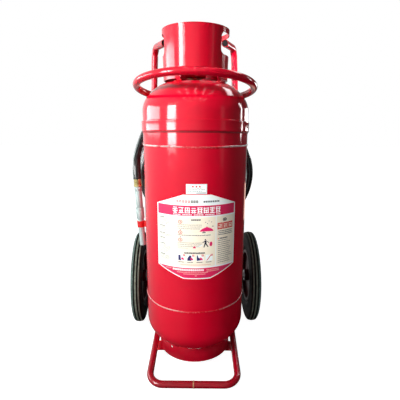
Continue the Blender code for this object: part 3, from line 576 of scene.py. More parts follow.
def add_gun():
    """The spray gun on the hose's end, each piece turned on one axis."""
    place = facing(GUN_TOP, GUN_AXIS)
    crimps = [(0.0080, 0.0), (0.0128, 0.0), (0.0136, 0.0008)]
    for z in (0.0050, 0.0105, 0.0160):
        crimps += [(0.0139, z - 0.0018), (0.0130, z - 0.0008), (0.0130, z + 0.0008), (0.0139, z + 0.0018)]
    crimps += [(0.0144, 0.0205), (0.0144, 0.0265), (0.0136, 0.0273), (0.0080, 0.0273)]
    ferrule = turned("gun_crimp_ferrule", crimps, GOLD, 48, place)
    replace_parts(ferrule, "gun_ferrule")

    tube = [(0.0090, 0.0278), (0.0126, 0.0278), (0.0130, 0.0284), (0.0130, 0.0400), (0.0122, 0.0412)]
    tube += [(0.0121, 0.0440), (0.0127, 0.0450), (0.0121, 0.1000), (0.0116, 0.1031), (0.0090, 0.1031)]
    barrel = turned("gun_barrel", tube, ALUMINIUM, 48, place)
    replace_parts(barrel, "gun_tube")

    ring = [(0.0085, 0.1038), (0.0128, 0.1038), (0.0140, 0.1050), (0.0144, 0.1064), (0.0144, 0.1140)]
    ring += [(0.0137, 0.1146), (0.0137, 0.1162), (0.0144, 0.1168), (0.0144, 0.1290), (0.0138, 0.1298)]
    ring += [(0.0138, 0.1310), (0.0144, 0.1318), (0.0143, 0.1420), (0.0132, 0.1458), (0.0085, 0.1458)]
    coupling = turned("gun_swivel", ring, ALUMINIUM, 48, place)
    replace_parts(coupling, "gun_coupling")

    return [ferrule, barrel, coupling, frame["nodes"]["gun_nozzle"]]


hose, hose_exit, hose_length = add_hose()
gun = add_gun()
print("hose length", round(hose_length, 3))


# ---------------------------------------------------------------- tank


def ellipse_points(radius, rise, start, end, steps):
    turns = [math.radians(start + (end - start) * step / steps) for step in range(steps + 1)]
    return [(radius * math.cos(t), rise * math.sin(t)) for t in turns]


def add_tank():
    wall, rise = 0.003, 0.108
    inner, inner_rise = TANK_RADIUS - wall, rise - wall
    low = [(r, 0.175 - h) for r, h in ellipse_points(TANK_RADIUS, rise, 90, 0, 28)]
    inside = [(r, 0.175 - h) for r, h in ellipse_points(inner, inner_rise, 0, 90, 12)]
    low[0], inside[-1] = (0, 0.067), (0, 0.070)
    profile = low + [(TANK_RADIUS, 0.2669), (inner, 0.2669)] + inside
    bottom = turned("bottom_head", profile, RED, 128, smooth=50)
    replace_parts(bottom, "tank_bottom_head")

    profile = [(inner, 0.2672), (TANK_RADIUS, 0.2672), (TANK_RADIUS, 0.53), (TANK_RADIUS, 0.7967), (inner, 0.7967)]
    barrel = turned("barrel", profile, RED, 128, smooth=50)
    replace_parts(barrel, "tank_barrel")

    opening = 0.0338
    start = math.degrees(math.acos(opening / TANK_RADIUS))
    inner_start = math.degrees(math.acos(opening / inner))
    top = [(r, 0.905 + h) for r, h in ellipse_points(TANK_RADIUS, rise, 0, start, 28)]
    inside = [(r, 0.905 + h) for r, h in ellipse_points(inner, inner_rise, inner_start, 0, 12)]
    profile = [(inner, 0.797), (TANK_RADIUS, 0.797)] + top + inside
    head = turned("top_head", profile, DOME_RED, 128, smooth=50)
    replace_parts(head, "tank_top_head")


def weld_ring(name, radius, height, size, seed, tilt=0.0, ripple=0.16):
    """A rippled bead round the tank."""
    rng = random.Random(seed)
    phases = [(rng.uniform(0, math.tau), rng.choice((17, 23, 31, 47, 83, 118))) for _ in range(6)]
    bm = bmesh.new()
    steps, sides = 360, 10
    rings = []
    for step in range(steps):
        turn = math.tau * step / steps
        lump = 1 + ripple * sum(math.sin(n * turn + p) for p, n in phases) / 3
        drift = 0.0006 * math.sin(phases[0][1] * 0 + 5 * turn + phases[0][0]) + 0.0003 * math.sin(11 * turn)
        ring = []
        for side in range(sides):
            angle = math.tau * side / sides
            reach = radius + size[0] * lump * math.cos(angle)
            z = height + drift + size[1] * lump * math.sin(angle) + tilt * -math.cos(turn)
            ring.append(bm.verts.new(at(reach * math.sin(turn), -reach * math.cos(turn), z)))
        rings.append(ring)
    for first, second in zip(rings, rings[1:] + rings[:1]):
        for i in range(sides):
            j = (i + 1) % sides
            bm.faces.new((first[i], first[j], second[j], second[i]))
    return finish_mesh(name, bm, SEAM_RED, smooth=60)


def hoop_height(y):
    return 0.8545 - 0.0436 * y


def tilted_ring(name, outline, material):
    """Carries (radius, rise) points round the tank along the sloping hoop."""
    bm = bmesh.new()
    rings = []
    for step in range(144):
        turn = math.tau * step / 144
        ring = []
        for reach, rise in outline:
            y = -reach * math.cos(turn)
            ring.append(bm.verts.new(at(reach * math.sin(turn), y, hoop_height(y) + rise)))
        rings.append(ring)
    for first, second in zip(rings, rings[1:] + rings[:1]):
        for i in range(len(outline)):
            j = (i + 1) % len(outline)
            bm.faces.new((first[i], first[j], second[j], second[i]))
    return finish_mesh(name, bm, material, smooth=50)


def add_hoop():
    """The band round the tank, with rolled edges and a thin dark ring under it as painted shadow."""
    outline = [(0.1753, -0.017), (0.1780, -0.017), (0.1787, -0.0164), (0.1791, -0.0150), (0.1788, -0.0130)]
    outline += [(0.1788, 0.0125), (0.1791, 0.0146), (0.1786, 0.0164), (0.1776, 0.017), (0.1753, 0.017)]
    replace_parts(tilted_ring("hoop", outline, RED), "hoop_band")
    # Painted shadow: a thin dark ring under the hoop's lower edge stands for the shadow the hoop casts.
    shadow_outline = [(0.1752, -0.0222), (0.1756, -0.0216), (0.1762, -0.0180), (0.1762, -0.0171), (0.1752, -0.0171)]
    tilted_ring("hoop_crease", shadow_outline, HOOP_SHADOW_RED)


add_tank()
add_hoop()
weld_ring("lower_weld", 0.1752, 0.2672, (0.0016, 0.0022), 3)
weld_ring("upper_weld", 0.1752, 0.7985, (0.0018, 0.0027), 5)


# ---------------------------------------------------------------- frame tubes and ring handle

TUBE_RADIUS = 0.0117
TUBE_BORE = 0.0097
TUBE_JOINT_Z = 0.128
LEG_REAR = {"left": (-0.1455, 0.150, 0.0753), "right": (0.1455, 0.152, 0.0753)}
SHOULDER = {"left": (-0.1565, 0.1485, 0.970), "right": (0.1452, 0.158, 0.970)}
TOP_CORNER = {"left": (-0.1500, 0.1495, 1.133), "right": (0.1360, 0.158, 1.133)}
TUBE_END = {"left": (-0.1010, 0.015, 1.121), "right": (0.0952, 0.015, 1.121)}


def upright_point(side, height):
    low, high = Vector(LEG_REAR[side]), Vector(SHOULDER[side])
    point = low.lerp(high, (height - low.z) / (high.z - low.z))
    return at(*point)


def add_frame():
    for side, sign in (("left", -1), ("right", 1)):
        butt = upright_point(side, TUBE_JOINT_Z)
        run = butt - Vector((0, AXIS_Y, 0))
        foot = [(sign * 0.00015, -0.193, TUBE_RADIUS), (sign * 0.152, -0.193, TUBE_RADIUS), LEG_REAR[side], run]
        path = [at(*p) for p in rounded_path(foot, (0.048, 0.045), 14)]
        tube = swept(f"foot_half_{side}", path, TUBE_RADIUS, TUBE_BORE, TUBE_RED, 28)
        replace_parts(tube, f"foot_tube_{side}")
        upper = [run, SHOULDER[side], TOP_CORNER[side], TUBE_END[side]]
        path = [at(*p) for p in rounded_path(upper, (0.300, 0.032), 14)]
        tube = swept(f"frame_half_{side}", path, TUBE_RADIUS, TUBE_BORE, TUBE_RED, 28)
        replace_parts(tube, f"frame_tube_{side}")
        outline = arc_points((TUBE_RADIUS, 0.0), 0.0011, 0, 360, 10)[:-1]
        up = path[1] - path[0]
        turned(f"tube_joint_weld_{side}", outline, WELD_RED, 40, facing(butt, up))
        lip = (path[-1] - path[-2]).normalized()
        outline = arc_points((0.0107, 0.0), 0.0010, 0, 360, 12)[:-1]
        turned(f"tube_lip_{side}", outline, WELD_RED, 36, facing(path[-1] - lip * 0.0002, lip))
    rng = random.Random(11)
    seam = [(0.0112 + 0.0017 * rng.uniform(0.6, 1.0), z) for z in (-0.0016, -0.0006, 0.0006, 0.0016)]
    outline = [(0.0110, -0.0024)] + seam + [(0.0110, 0.0024)]
    turned("foot_bar_weld", outline, BARE_WELD, 40, facing(at(0, -0.193, TUBE_RADIUS), (1, 0, 0)))


def add_ring_handle():
    path = []
    opening = 0.00015 / 0.191
    for step in range(145):
        turn = math.pi / 2 + opening + (math.tau - 2 * opening) * step / 144
        x = -0.001 + 0.191 * math.cos(turn)
        y = 0.191 * math.sin(turn)
        path.append(at(x, y, 0.9798 - 0.1427 * y - 0.0101 * x))
    ring = swept("ring_grip", path, TUBE_RADIUS, TUBE_BORE, RED, 32)
    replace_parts(ring, "ring_handle")


add_frame()
add_ring_handle()


# ---------------------------------------------------------------- wheels

AXLE_MIDDLE = at(-0.002, 0.2645, 0.196)
AXLE_TURN = math.radians(1.9)
AXLE_DIRECTION = Vector((math.cos(AXLE_TURN), math.sin(AXLE_TURN), 0))


def tyre_profile():
    """The tyre's section: four ribs on a crowned tread, shoulders, and a bead line on the sidewall."""
    half = [(0.1060, 0.0139), (0.1172, 0.0139), (0.1184, 0.0150), (0.1280, 0.0188), (0.1300, 0.0196)]
    half += [(0.1330, 0.0196), (0.1345, 0.0191), (0.1700, 0.0195), (0.1780, 0.0198), (0.1850, 0.0190)]
    half += [(0.1888, 0.0174), (0.1908, 0.0160), (0.1930, 0.0140), (0.1941, 0.0116), (0.1944, 0.0100)]
    half += [(0.1938, 0.0094), (0.1900, 0.0090), (0.1900, 0.0080), (0.1944, 0.0076), (0.1951, 0.0070)]
    half += [(0.1951, 0.0054), (0.1946, 0.0049), (0.1905, 0.0045), (0.1905, 0.0036), (0.1950, 0.0032), (0.1959, 0.0026), (0.1959, 0.0006)]
    low = [(r, WHEEL_ALONG - w) for r, w in half]
    high = [(r, WHEEL_ALONG + w) for r, w in reversed(half)]
    return low + high


def add_wheel(side):
    body = f"wheel_{side}"
    outward = AXLE_DIRECTION * (-1 if side == "left" else 1)
    place = Matrix.Translation(AXLE_MIDDLE) @ Matrix((Vector((0, 0, 1)), outward.cross(Vector((0, 0, 1))), outward)).transposed().to_4x4()
    tyre = turned(f"ribbed_tyre_{side}", tyre_profile(), TYRE, 128, place, body, 28)
    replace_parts(tyre, f"tyre_{side}")

    half = [(0.0262, 0.0013), (0.0330, 0.0013), (0.0350, 0.0030), (0.0560, 0.0042), (0.0760, 0.0036)]
    half += [(0.0830, 0.0013), (0.0980, 0.0013), (0.1010, 0.0030), (0.1020, 0.0160), (0.1032, 0.0166)]
    half += [(0.1130, 0.0168), (0.1142, 0.0162), (0.1144, 0.0150), (0.1136, 0.0144), (0.1056, 0.0143)]
    front = [(r, WHEEL_ALONG + w) for r, w in half]
    back = [(r, WHEEL_ALONG - w) for r, w in reversed(half)]
    rim = turned(f"pressed_rim_{side}", back + front, SHADED_RIM_RED, 96, place, body, 35)
    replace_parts(rim, f"rim_{side}")


for wheel_side in ("left", "right"):
    add_wheel(wheel_side)


# ---------------------------------------------------------------- label and sticker


def skin_point(angle, height, radius):
    turn = math.radians(angle)
    return at(radius * math.sin(turn), -radius * math.cos(turn), height)


class Print:
    """Flat shapes printed on the tank, in degrees from the front and metres up, as one mesh."""

    def __init__(self, name, materials, radius):
        self.name = name
        self.materials = materials
        self.radius = radius
        self.bm = bmesh.new()

    def shape(self, outline, ink, lift=0):
        """A convex outline of (angle, height) points, cut into strips so that it follows the tank."""
        radius = self.radius + lift * 0.00004
        low = min(a for a, _ in outline)
        high = max(a for a, _ in outline)
        strips = max(1, math.ceil((high - low) / 2.5))
        edges = list(zip(outline, outline[1:] + outline[:1]))
        columns = []
        stops = [low + (high - low) * step / strips for step in range(strips + 1)] + [a for a, _ in outline]
        for angle in sorted(set(round(stop, 5) for stop in stops)):
            angle = min(max(angle, low + 1e-4), high - 1e-4)
            heights = []
            for (a, za), (b, zb) in edges:
                if min(a, b) <= angle <= max(a, b) and abs(a - b) > 1e-9:
                    heights.append(za + (zb - za) * (angle - a) / (b - a))
            columns.append((angle, min(heights), max(heights)))
        index = self.materials.index(ink)
        for (a, al, ah), (b, bl, bh) in zip(columns, columns[1:]):
            corners = [(a, al), (b, bl), (b, bh), (a, ah)]
            verts = [self.bm.verts.new(skin_point(angle, z, radius)) for angle, z in corners]
            self.bm.faces.new(verts).material_index = index

    def box(self, left, right, low, high, ink, lift=0):
        self.shape([(left, low), (right, low), (right, high), (left, high)], ink, lift)

    def text(self, left, right, top, lines, ink, lift=2, gap=0.0046, size=0.0016, fill=0.8, ragged=0.3):
        """Rows of small dashes that stand for print."""
        for line in range(lines):
            high = top - gap * line
            end = left + (right - left) * (1 - random.uniform(0, ragged))
            angle = left
            while angle < end:
                step = random.uniform(0.5, 1.7)
                stop = min(angle + step * fill, end)
                drop = random.uniform(0, 0.0005)
                self.box(angle, stop, high - size - drop, high - drop, ink, lift)
                angle += step

    def done(self, *nodes, slot="label_print"):
        mesh = bpy.data.meshes.new(self.name)
        self.bm.to_mesh(mesh)
        self.bm.free()
        mesh.shade_smooth()
        for each in self.materials:
            mesh.materials.append(each)
        obj = bpy.data.objects.new(self.name, mesh)
        bpy.context.scene.collection.objects.link(obj)
        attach(obj, BODY)
        return obj


LABEL_TOP = ((-41.5, 0.6242), (-11.0, 0.6570), (17.0, 0.6570), (47.0, 0.6242))
LABEL_LOW = ((-41.5, 0.4195), (-11.0, 0.3845), (17.0, 0.3845), (47.0, 0.4195))


def label_edge(points, angle):
    for (a, za), (b, zb) in zip(points, points[1:]):
        if a <= angle <= b:
            return za + (zb - za) * (angle - a) / (b - a)
    return points[0][1] if angle < points[0][0] else points[-1][1]


def band(sheet, left, right, low, high, ink, lift, inset=0.0):
    """A panel whose edges follow low(angle) and high(angle)."""
    steps = max(1, math.ceil((right - left) / 2.0))
    radius = sheet.radius + lift * 0.00004
    index = sheet.materials.index(ink)
    for step in range(steps):
        a = left + (right - left) * step / steps
        b = left + (right - left) * (step + 1) / steps
        corners = [(a, low(a) + inset), (b, low(b) + inset), (b, high(b) - inset), (a, high(a) - inset)]
        if corners[3][1] - corners[0][1] < 1e-5 and corners[2][1] - corners[1][1] < 1e-5:
            continue
        sheet.bm.faces.new([sheet.bm.verts.new(skin_point(t, z, radius)) for t, z in corners]).material_index = index


def hatched(sheet, left, low, width, height, ink, seed, lift=2):
    """A tile of crossed bars, which stands for one printed mark."""
    rng = random.Random(seed)
    rows = rng.choice(((0.02, 0.36, 0.86), (0.10, 0.46, 0.80), (0.0, 0.30, 0.60, 0.88)))
    for share in rows:
        inset = rng.choice((0.0, 0.0, 0.12)) * width
        sheet.box(left + inset, left + width - inset, low + height * share, low + height * (share + 0.13), ink, lift)
    for share in rng.choice(((0.40,), (0.10, 0.72), (0.24, 0.62), (0.04, 0.44, 0.80))):
        foot, head = rng.choice(((0.0, 1.0), (0.0, 0.62), (0.30, 1.0)))
        across = left + width * share
        sheet.box(across, across + width * 0.17, low + height * foot, low + height * head, ink, lift)


def add_label():
    inks = [WHITE, CREAM, IVORY, CRIMSON, GREY_INK, DARK_INK, NAVY, MAGENTA, RED_INK, PINK_INK]
    sheet = Print("label_artwork", inks, 0.17578)
    top = lambda angle: label_edge(LABEL_TOP, angle)
    low = lambda angle: label_edge(LABEL_LOW, angle)
    band(sheet, -41.5, 47.0, low, top, WHITE, 0)
    band(sheet, -40.2, 45.7, lambda t: 0.5912, lambda t: 0.6232, CRIMSON, 1)
    for left, right, ink in ((-40.2, -19.3, IVORY), (-18.4, 22.3, CREAM), (23.3, 45.7, CREAM)):
        band(sheet, left, right, lambda t: 0.4262, lambda t: 0.5872, ink, 1)
    band(sheet, -40.2, 45.7, lambda t: low(t) + 0.0032, lambda t: 0.4215, CRIMSON, 1)

    # Head of the label: plain blocks where a maker would print a mark and a type.
    for index in range(5):
        left = -17.8 + 2.9 * index
        sheet.box(left, left + 2.1, 0.6325, 0.6395, RED_INK, 2)
        sheet.box(left + 0.6, left + 1.5, 0.6345, 0.6375, WHITE, 3)
    for index in range(3):
        sheet.box(-3.3 + 2.6 * index, -1.1 + 2.6 * index, 0.6318, 0.6400, GREY_INK, 2)
        sheet.box(-2.9 + 2.6 * index, -1.5 + 2.6 * index, 0.6350, 0.6362, WHITE, 3)
    for index in range(9):
        left = 9.4 + 1.9 * index
        sheet.box(left, left + 1.35, 0.6330, 0.6382, DARK_INK, 2)

    # Title: eight hatched tiles over a line of small white blocks.
    for tile in range(8):
        hatched(sheet, -22.0 + 6.3 * tile, 0.5995, 5.3, 0.0185, WHITE, 20 + tile)
    for index in range(30):
        left = -21.5 + 1.64 * index
        if index % 7 != 5:
            sheet.box(left, left + 1.2, 0.5935, 0.5962, WHITE, 2)

    # Left column of small print.
    z = 0.5825
    for lines, share in ((5, 0.8), (4, 0.6), (2, 0.95), (3, 0.45), (7, 0.8), (4, 0.9), (3, 0.6)):
        sheet.text(-38.0, -31.5, z, 1, DARK_INK, size=0.0032, ragged=0.0)
        for line in range(lines):
            end = -38.0 + 17.0 * share * random.uniform(0.6, 1.0)
            sheet.text(-38.4, end, z - 0.0048 - 0.0040 * line, 1, GREY_INK, size=0.0019, ragged=0.0, fill=0.72)
        z -= 0.0040 * lines + 0.0075
        if z < 0.4500:
            break

    # Middle column: three steps with red marks, an umbrella shape and a walking figure.
    sheet.text(-2.8, 6.6, 0.5812, 1, DARK_INK, size=0.0044, ragged=0.0, fill=0.85)
    for z, dots in ((0.5717, 0), (0.5380, 0), (0.5139, 0)):
        for ring in range(10):
            angle = math.tau * ring / 10
            across, up = -14.0 + 1.9 * math.cos(angle), z + 0.0050 * math.sin(angle)
            sheet.box(across - 0.42, across + 0.42, up - 0.0012, up + 0.0012, RED_INK, 2)
        sheet.box(-14.4, -13.5, z - 0.0022, z + 0.0022, RED_INK, 2)
    sheet.text(-16.8, 8.0, 0.5640, 3, GREY_INK, gap=0.0060, size=0.0021, fill=0.6, ragged=0.1)
    sheet.text(-16.8, 17.5, 0.5310, 1, GREY_INK, size=0.0026, fill=0.7, ragged=0.05)
    sheet.text(-16.8, 8.0, 0.5062, 3, GREY_INK, gap=0.0060, size=0.0021, fill=0.6, ragged=0.15)
    for z in (0.5445, 0.5220):
        sheet.box(-14.3, -13.5, z, z + 0.0028, DARK_INK, 2)
    umbrella = [(5.6, 0.5418), (20.1, 0.5418), (19.4, 0.5462), (17.6, 0.5505), (15.6, 0.5532), (13.9, 0.5548)]
    umbrella += [(13.0, 0.5580), (12.2, 0.5548), (10.4, 0.5532), (8.2, 0.5500), (6.4, 0.5455)]
    sheet.shape(umbrella, MAGENTA, 2)
    for left, z, long in ((11.2, 0.5700, 0.9), (14.9, 0.5735, 0.7), (17.4, 0.5700, 0.9), (18.4, 0.5560, 1.6), (13.2, 0.5655, 0.7)):
        sheet.box(left, left + long, z, z + 0.0022, GREY_INK, 2)
    sheet.box(8.2, 11.8, 0.5368, 0.5392, DARK_INK, 2)
    sheet.box(9.6, 10.4, 0.5392, 0.5425, DARK_INK, 2)
    figure = (
        ((10.9, 0.5128), (12.2, 0.5128), (12.2, 0.5168), (10.9, 0.5168)),
        ((10.6, 0.5010), (12.9, 0.5010), (12.6, 0.5120), (10.9, 0.5120)),
        ((10.6, 0.5015), (12.0, 0.5015), (10.6, 0.4900), (9.6, 0.4900)),
        ((11.4, 0.5015), (12.9, 0.5015), (15.0, 0.4915), (14.0, 0.4905)),
        ((8.7, 0.5045), (11.0, 0.5085), (11.2, 0.5118), (8.6, 0.5068)),
        ((12.4, 0.5110), (15.2, 0.5035), (15.4, 0.5055), (12.6, 0.5124)),
    )
    for outline in figure:
        sheet.shape(list(outline), DARK_INK, 2)
    sheet.shape([(16.4, 0.4930), (18.5, 0.4930), (19.1, 0.5010), (18.3, 0.5075), (16.7, 0.5070), (15.9, 0.4990)], MAGENTA, 2)
    sheet.shape([(-1.2, 0.4880), (2.0, 0.4880), (1.6, 0.4915), (0.6, 0.4955), (-0.8, 0.4915)], MAGENTA, 2)
    sheet.shape([(2.4, 0.4895), (8.6, 0.4960), (8.6, 0.5005), (2.4, 0.4925)], WHITE, 2)
    sheet.box(-16.8, -6.0, 0.4868, 0.4876, GREY_INK, 2)
    sheet.text(-10.0, 11.2, 0.4742, 1, DARK_INK, size=0.0046, fill=0.82, ragged=0.0)
    for index, left in enumerate((-16.6, -7.2, 2.5, 12.0)):
        sheet.box(left, left + 7.4, 0.4455, 0.4650, WHITE, 2)
        if index == 0:
            sheet.shape([(left + 0.4, 0.4462), (left + 3.6, 0.4462), (left + 2.6, 0.4560), (left + 3.0, 0.4640), (left + 0.4, 0.4640)], NAVY, 3)
        elif index == 1:
            sheet.shape([(left + 0.4, 0.4462), (left + 4.6, 0.4462), (left + 3.4, 0.4560), (left + 4.4, 0.4635), (left + 2.6, 0.4640), (left + 0.6, 0.4545)], NAVY, 3)
        elif index == 2:
            sheet.shape([(left + 0.4, 0.4462), (left + 5.0, 0.4480), (left + 3.6, 0.4540), (left + 1.7, 0.4580), (left + 1.5, 0.4640), (left + 0.4, 0.4640)], NAVY, 3)
        else:
            sheet.shape([(left + 0.7, 0.4465), (left + 1.7, 0.4465), (left + 6.2, 0.4635), (left + 5.2, 0.4635)], RED_INK, 3)
        if index < 3:
            sheet.shape([(left + 3.4, 0.4500), (left + 6.6, 0.4475), (left + 6.2, 0.4530), (left + 4.0, 0.4580)], MAGENTA, 3)
        sheet.box(left + 5.4, left + 7.4, 0.4605, 0.4665, RED_INK, 4)
        sheet.box(left + 6.0, left + 6.8, 0.4622, 0.4648, WHITE, 5)
        sheet.text(left + 0.2, left + 6.2, 0.4425, 1, GREY_INK, size=0.0026, ragged=0.0)
    sheet.box(-14.5, 17.5, 0.4318, 0.4328, RED_INK, 2)

    # Right column: a small roundel, three red tiles and small print.
    roundel = [(33.0 + 2.6 * math.cos(math.tau * k / 10), 0.5745 + 0.0056 * math.sin(math.tau * k / 10)) for k in range(10)]
    sheet.shape(roundel, DARK_INK, 2)
    sheet.shape([(33.0 + (a - 33.0) * 0.68, 0.5745 + (z - 0.5745) * 0.68) for a, z in roundel], CREAM, 3)
    sheet.box(31.9, 34.1, 0.5722, 0.5768, DARK_INK, 4)
    for left in (24.5, 31.0, 37.5):
        sheet.box(left, left + 6.0, 0.5445, 0.5655, RED_INK, 2)
        hatched(sheet, left + 1.0, 0.5480, 4.0, 0.0135, CREAM, int(left * 10), 3)
    sheet.text(25.4, 44.4, 0.5398, 3, DARK_INK, gap=0.0056, size=0.0024, fill=0.78, ragged=0.15)
    sheet.box(25.0, 26.2, 0.5125, 0.5150, RED_INK, 2)
    sheet.text(27.0, 37.0, 0.5165, 1, DARK_INK, size=0.0036, ragged=0.0, fill=0.80)
    for line in range(12):
        end = 27.0 + 17.5 * random.uniform(0.45, 1.0)
        sheet.text(25.4, end, 0.5090 - 0.0066 * line, 1, GREY_INK, size=0.0022, ragged=0.0, fill=0.66)

    # Foot of the label.
    for index in range(17):
        left = -22.6 + 1.95 * index
        sheet.box(left, left + 1.6, 0.4118, 0.4178, WHITE, 2)
        sheet.box(left + 0.5, left + 1.1, 0.4140, 0.4155, CRIMSON, 3)
    sheet.text(13.0, 27.0, 0.4165, 2, PINK_INK, gap=0.0050, size=0.0026, ragged=0.0)
    sheet.text(-31.0, -24.0, 0.4180, 1, PINK_INK, size=0.0030, ragged=0.0)
    sheet.text(-17.8, 14.6, 0.4080, 1, PINK_INK, size=0.0028, ragged=0.0)
    sheet.text(-11.0, 12.0, 0.4025, 1, PINK_INK, size=0.0024, ragged=0.0)
    sheet.box(1.0, 3.0, 0.3945, 0.3970, PINK_INK, 2)
    sheet.done()

    small = Print("sticker_artwork", [PALE_BLUE, WHITE, RED_INK, GREY_INK], 0.17578)
    small.box(-8.0, 12.7, 0.6592, 0.6897, PALE_BLUE, 0)
    small.box(-7.3, 12.0, 0.6610, 0.6879, WHITE, 1)
    for left in (-2.0, 1.5, 4.7):
        small.box(left, left + 1.6, 0.6800, 0.6845, RED_INK, 2)
    small.text(-6.4, 11.4, 0.6790, 3, GREY_INK, gap=0.0050, size=0.0020, fill=0.6)
    small.box(2.0, 11.6, 0.6618, 0.6638, GREY_INK, 2)
    small.done()


add_label()


# ---------------------------------------------------------------- small welds and trim


def add_small_welds():
    for index, angle in enumerate((-133.0, -30.0, 47.0, 150.0)):
        for offset in (-4.6, 0.6, 5.0):
            turn = math.radians(angle + offset)
            lift = 0.9935 + 0.0012 * math.cos(index + offset)
            centre = at(0.1035 * math.sin(turn), -0.1035 * math.cos(turn), lift)
            blob(f"collar_weld_{index}_{int(offset * 10 + 60)}", centre, (0.0046, 0.0040, 0.0030), WELD_RED, seed=index * 7 + int(offset))
    for side, sign in (("left", -1), ("right", 1)):
        for index, y in enumerate((-0.058, -0.045, -0.030, -0.015)):
            blob(f"gusset_weld_{side}_{index}", at(sign * 0.1355, y, 0.0480), (0.0030, 0.0070, 0.0026), WELD_RED, seed=index + 3)
        for index, y in enumerate((-0.060, -0.012)):
            blob(f"gusset_corner_{side}_{index}", at(sign * 0.1300, y, 0.0492), (0.0034, 0.0040, 0.0024), WELD_RED, seed=index + 5)
        post = upright_point(side, 0.848)
        flat = Vector((post.x, post.y - AXIS_Y, 0)).normalized()
        for index, z in enumerate((0.842, 0.852, 0.862)):
            centre = Vector((flat.x * 0.1800, flat.y * 0.1800 + AXIS_Y, z))
            blob(f"lug_weld_{side}_{index}", centre, (0.0022, 0.0030, 0.0050), WELD_RED, seed=index + 9)
    rng = random.Random(5)
    for index in range(15):
        angle = -84 + index * 12 + rng.uniform(-3, 3)
        turn = math.radians(angle)
        centre = at(0.1292 * math.sin(turn), -0.1292 * math.cos(turn), 0.1010)
        blob(f"foot_weld_{index}", centre, (0.0075, 0.0022, 0.0018), WELD_RED, (0, 0, 1), index)
    for x, z in ((-0.062, 0.0215), (0.049, 0.0222)):
        blob(f"spatter_{int(x * 1000 + 100)}", at(x, -0.198, z), (0.0016, 0.0013, 0.0011), WELD_RED, seed=int(z * 1e4))


add_small_welds()


# ---------------------------------------------------------------- materials of the CAD nodes

LOOKS = {
    "red_paint": TUBE_RED,
    "red_plastic": RED_PLASTIC,
    "hose_rubber": RUBBER,
    "tyre_rubber": TYRE,
    "brass": BRASS,
    "zinc_steel": ZINC,
    "aluminium": ALUMINIUM,
    "yellow_zinc": GOLD,
    "label_print": WHITE,
    "black_plastic": BLACK_PLASTIC,
    "gauge_glass": GLASS,
}
GLOSSY = {"valve_collar", "neck_boss"}
# Painted shade: the hubs take the rims' near-black red enamel, which stands for the shade they sit in.
PAINTED_SHADE_NODES = {"hub_left", "hub_right"}


def paint_nodes():
    slots = {entry["node"]: entry["material_slot"] for entry in frame["record"]["subparts"]}
    for name, obj in frame["nodes"].items():
        look = RED if name in GLOSSY else SHADED_RIM_RED if name in PAINTED_SHADE_NODES else LOOKS[slots[name]]
        for slot in obj.material_slots:
            slot.material = look
        if not obj.material_slots:
            obj.data.materials.append(look)


paint_nodes()


# ---------------------------------------------------------------- light and stage


def aim(name, place, target, width, height, strength, colour=(1, 1, 1), gloss=True, diffuse=True, spread=180):
    """A rectangle of light. spread narrows its beam, in degrees."""
    data = bpy.data.lights.new(name, "AREA")
    data.shape = "RECTANGLE"
    data.size, data.size_y = width, height
    data.energy = strength * math.pi * width * height
    data.color = colour
    data.spread = math.radians(spread)
    obj = bpy.data.objects.new(name, data)
    turn = (Vector(target) - Vector(place)).to_track_quat("-Z", "Y").to_matrix().to_4x4()
    obj.matrix_world = Matrix.Translation(place) @ turn
    obj.visible_glossy = gloss
    obj.visible_diffuse = diffuse
    obj.visible_camera = False
    bpy.context.scene.collection.objects.link(obj)
    return obj


def only_on(light, pieces):
    """Limits a light to these pieces."""
    lit = bpy.data.collections.new(light.name + "_lights")
    for piece in pieces:
        lit.objects.link(piece)
    light.light_linking.receiver_collection = lit


def leave_out(light, pieces):
    """Keeps a light off these pieces."""
    lit = bpy.data.collections.new(light.name + "_spares")
    for piece in pieces:
        lit.objects.link(piece)
    for entry in lit.collection_objects:
        entry.light_linking.link_state = "EXCLUDE"
    light.light_linking.receiver_collection = lit


def around(azimuth, distance, height):
    turn = math.radians(azimuth)
    return at(distance * math.sin(turn), -distance * math.cos(turn), height)


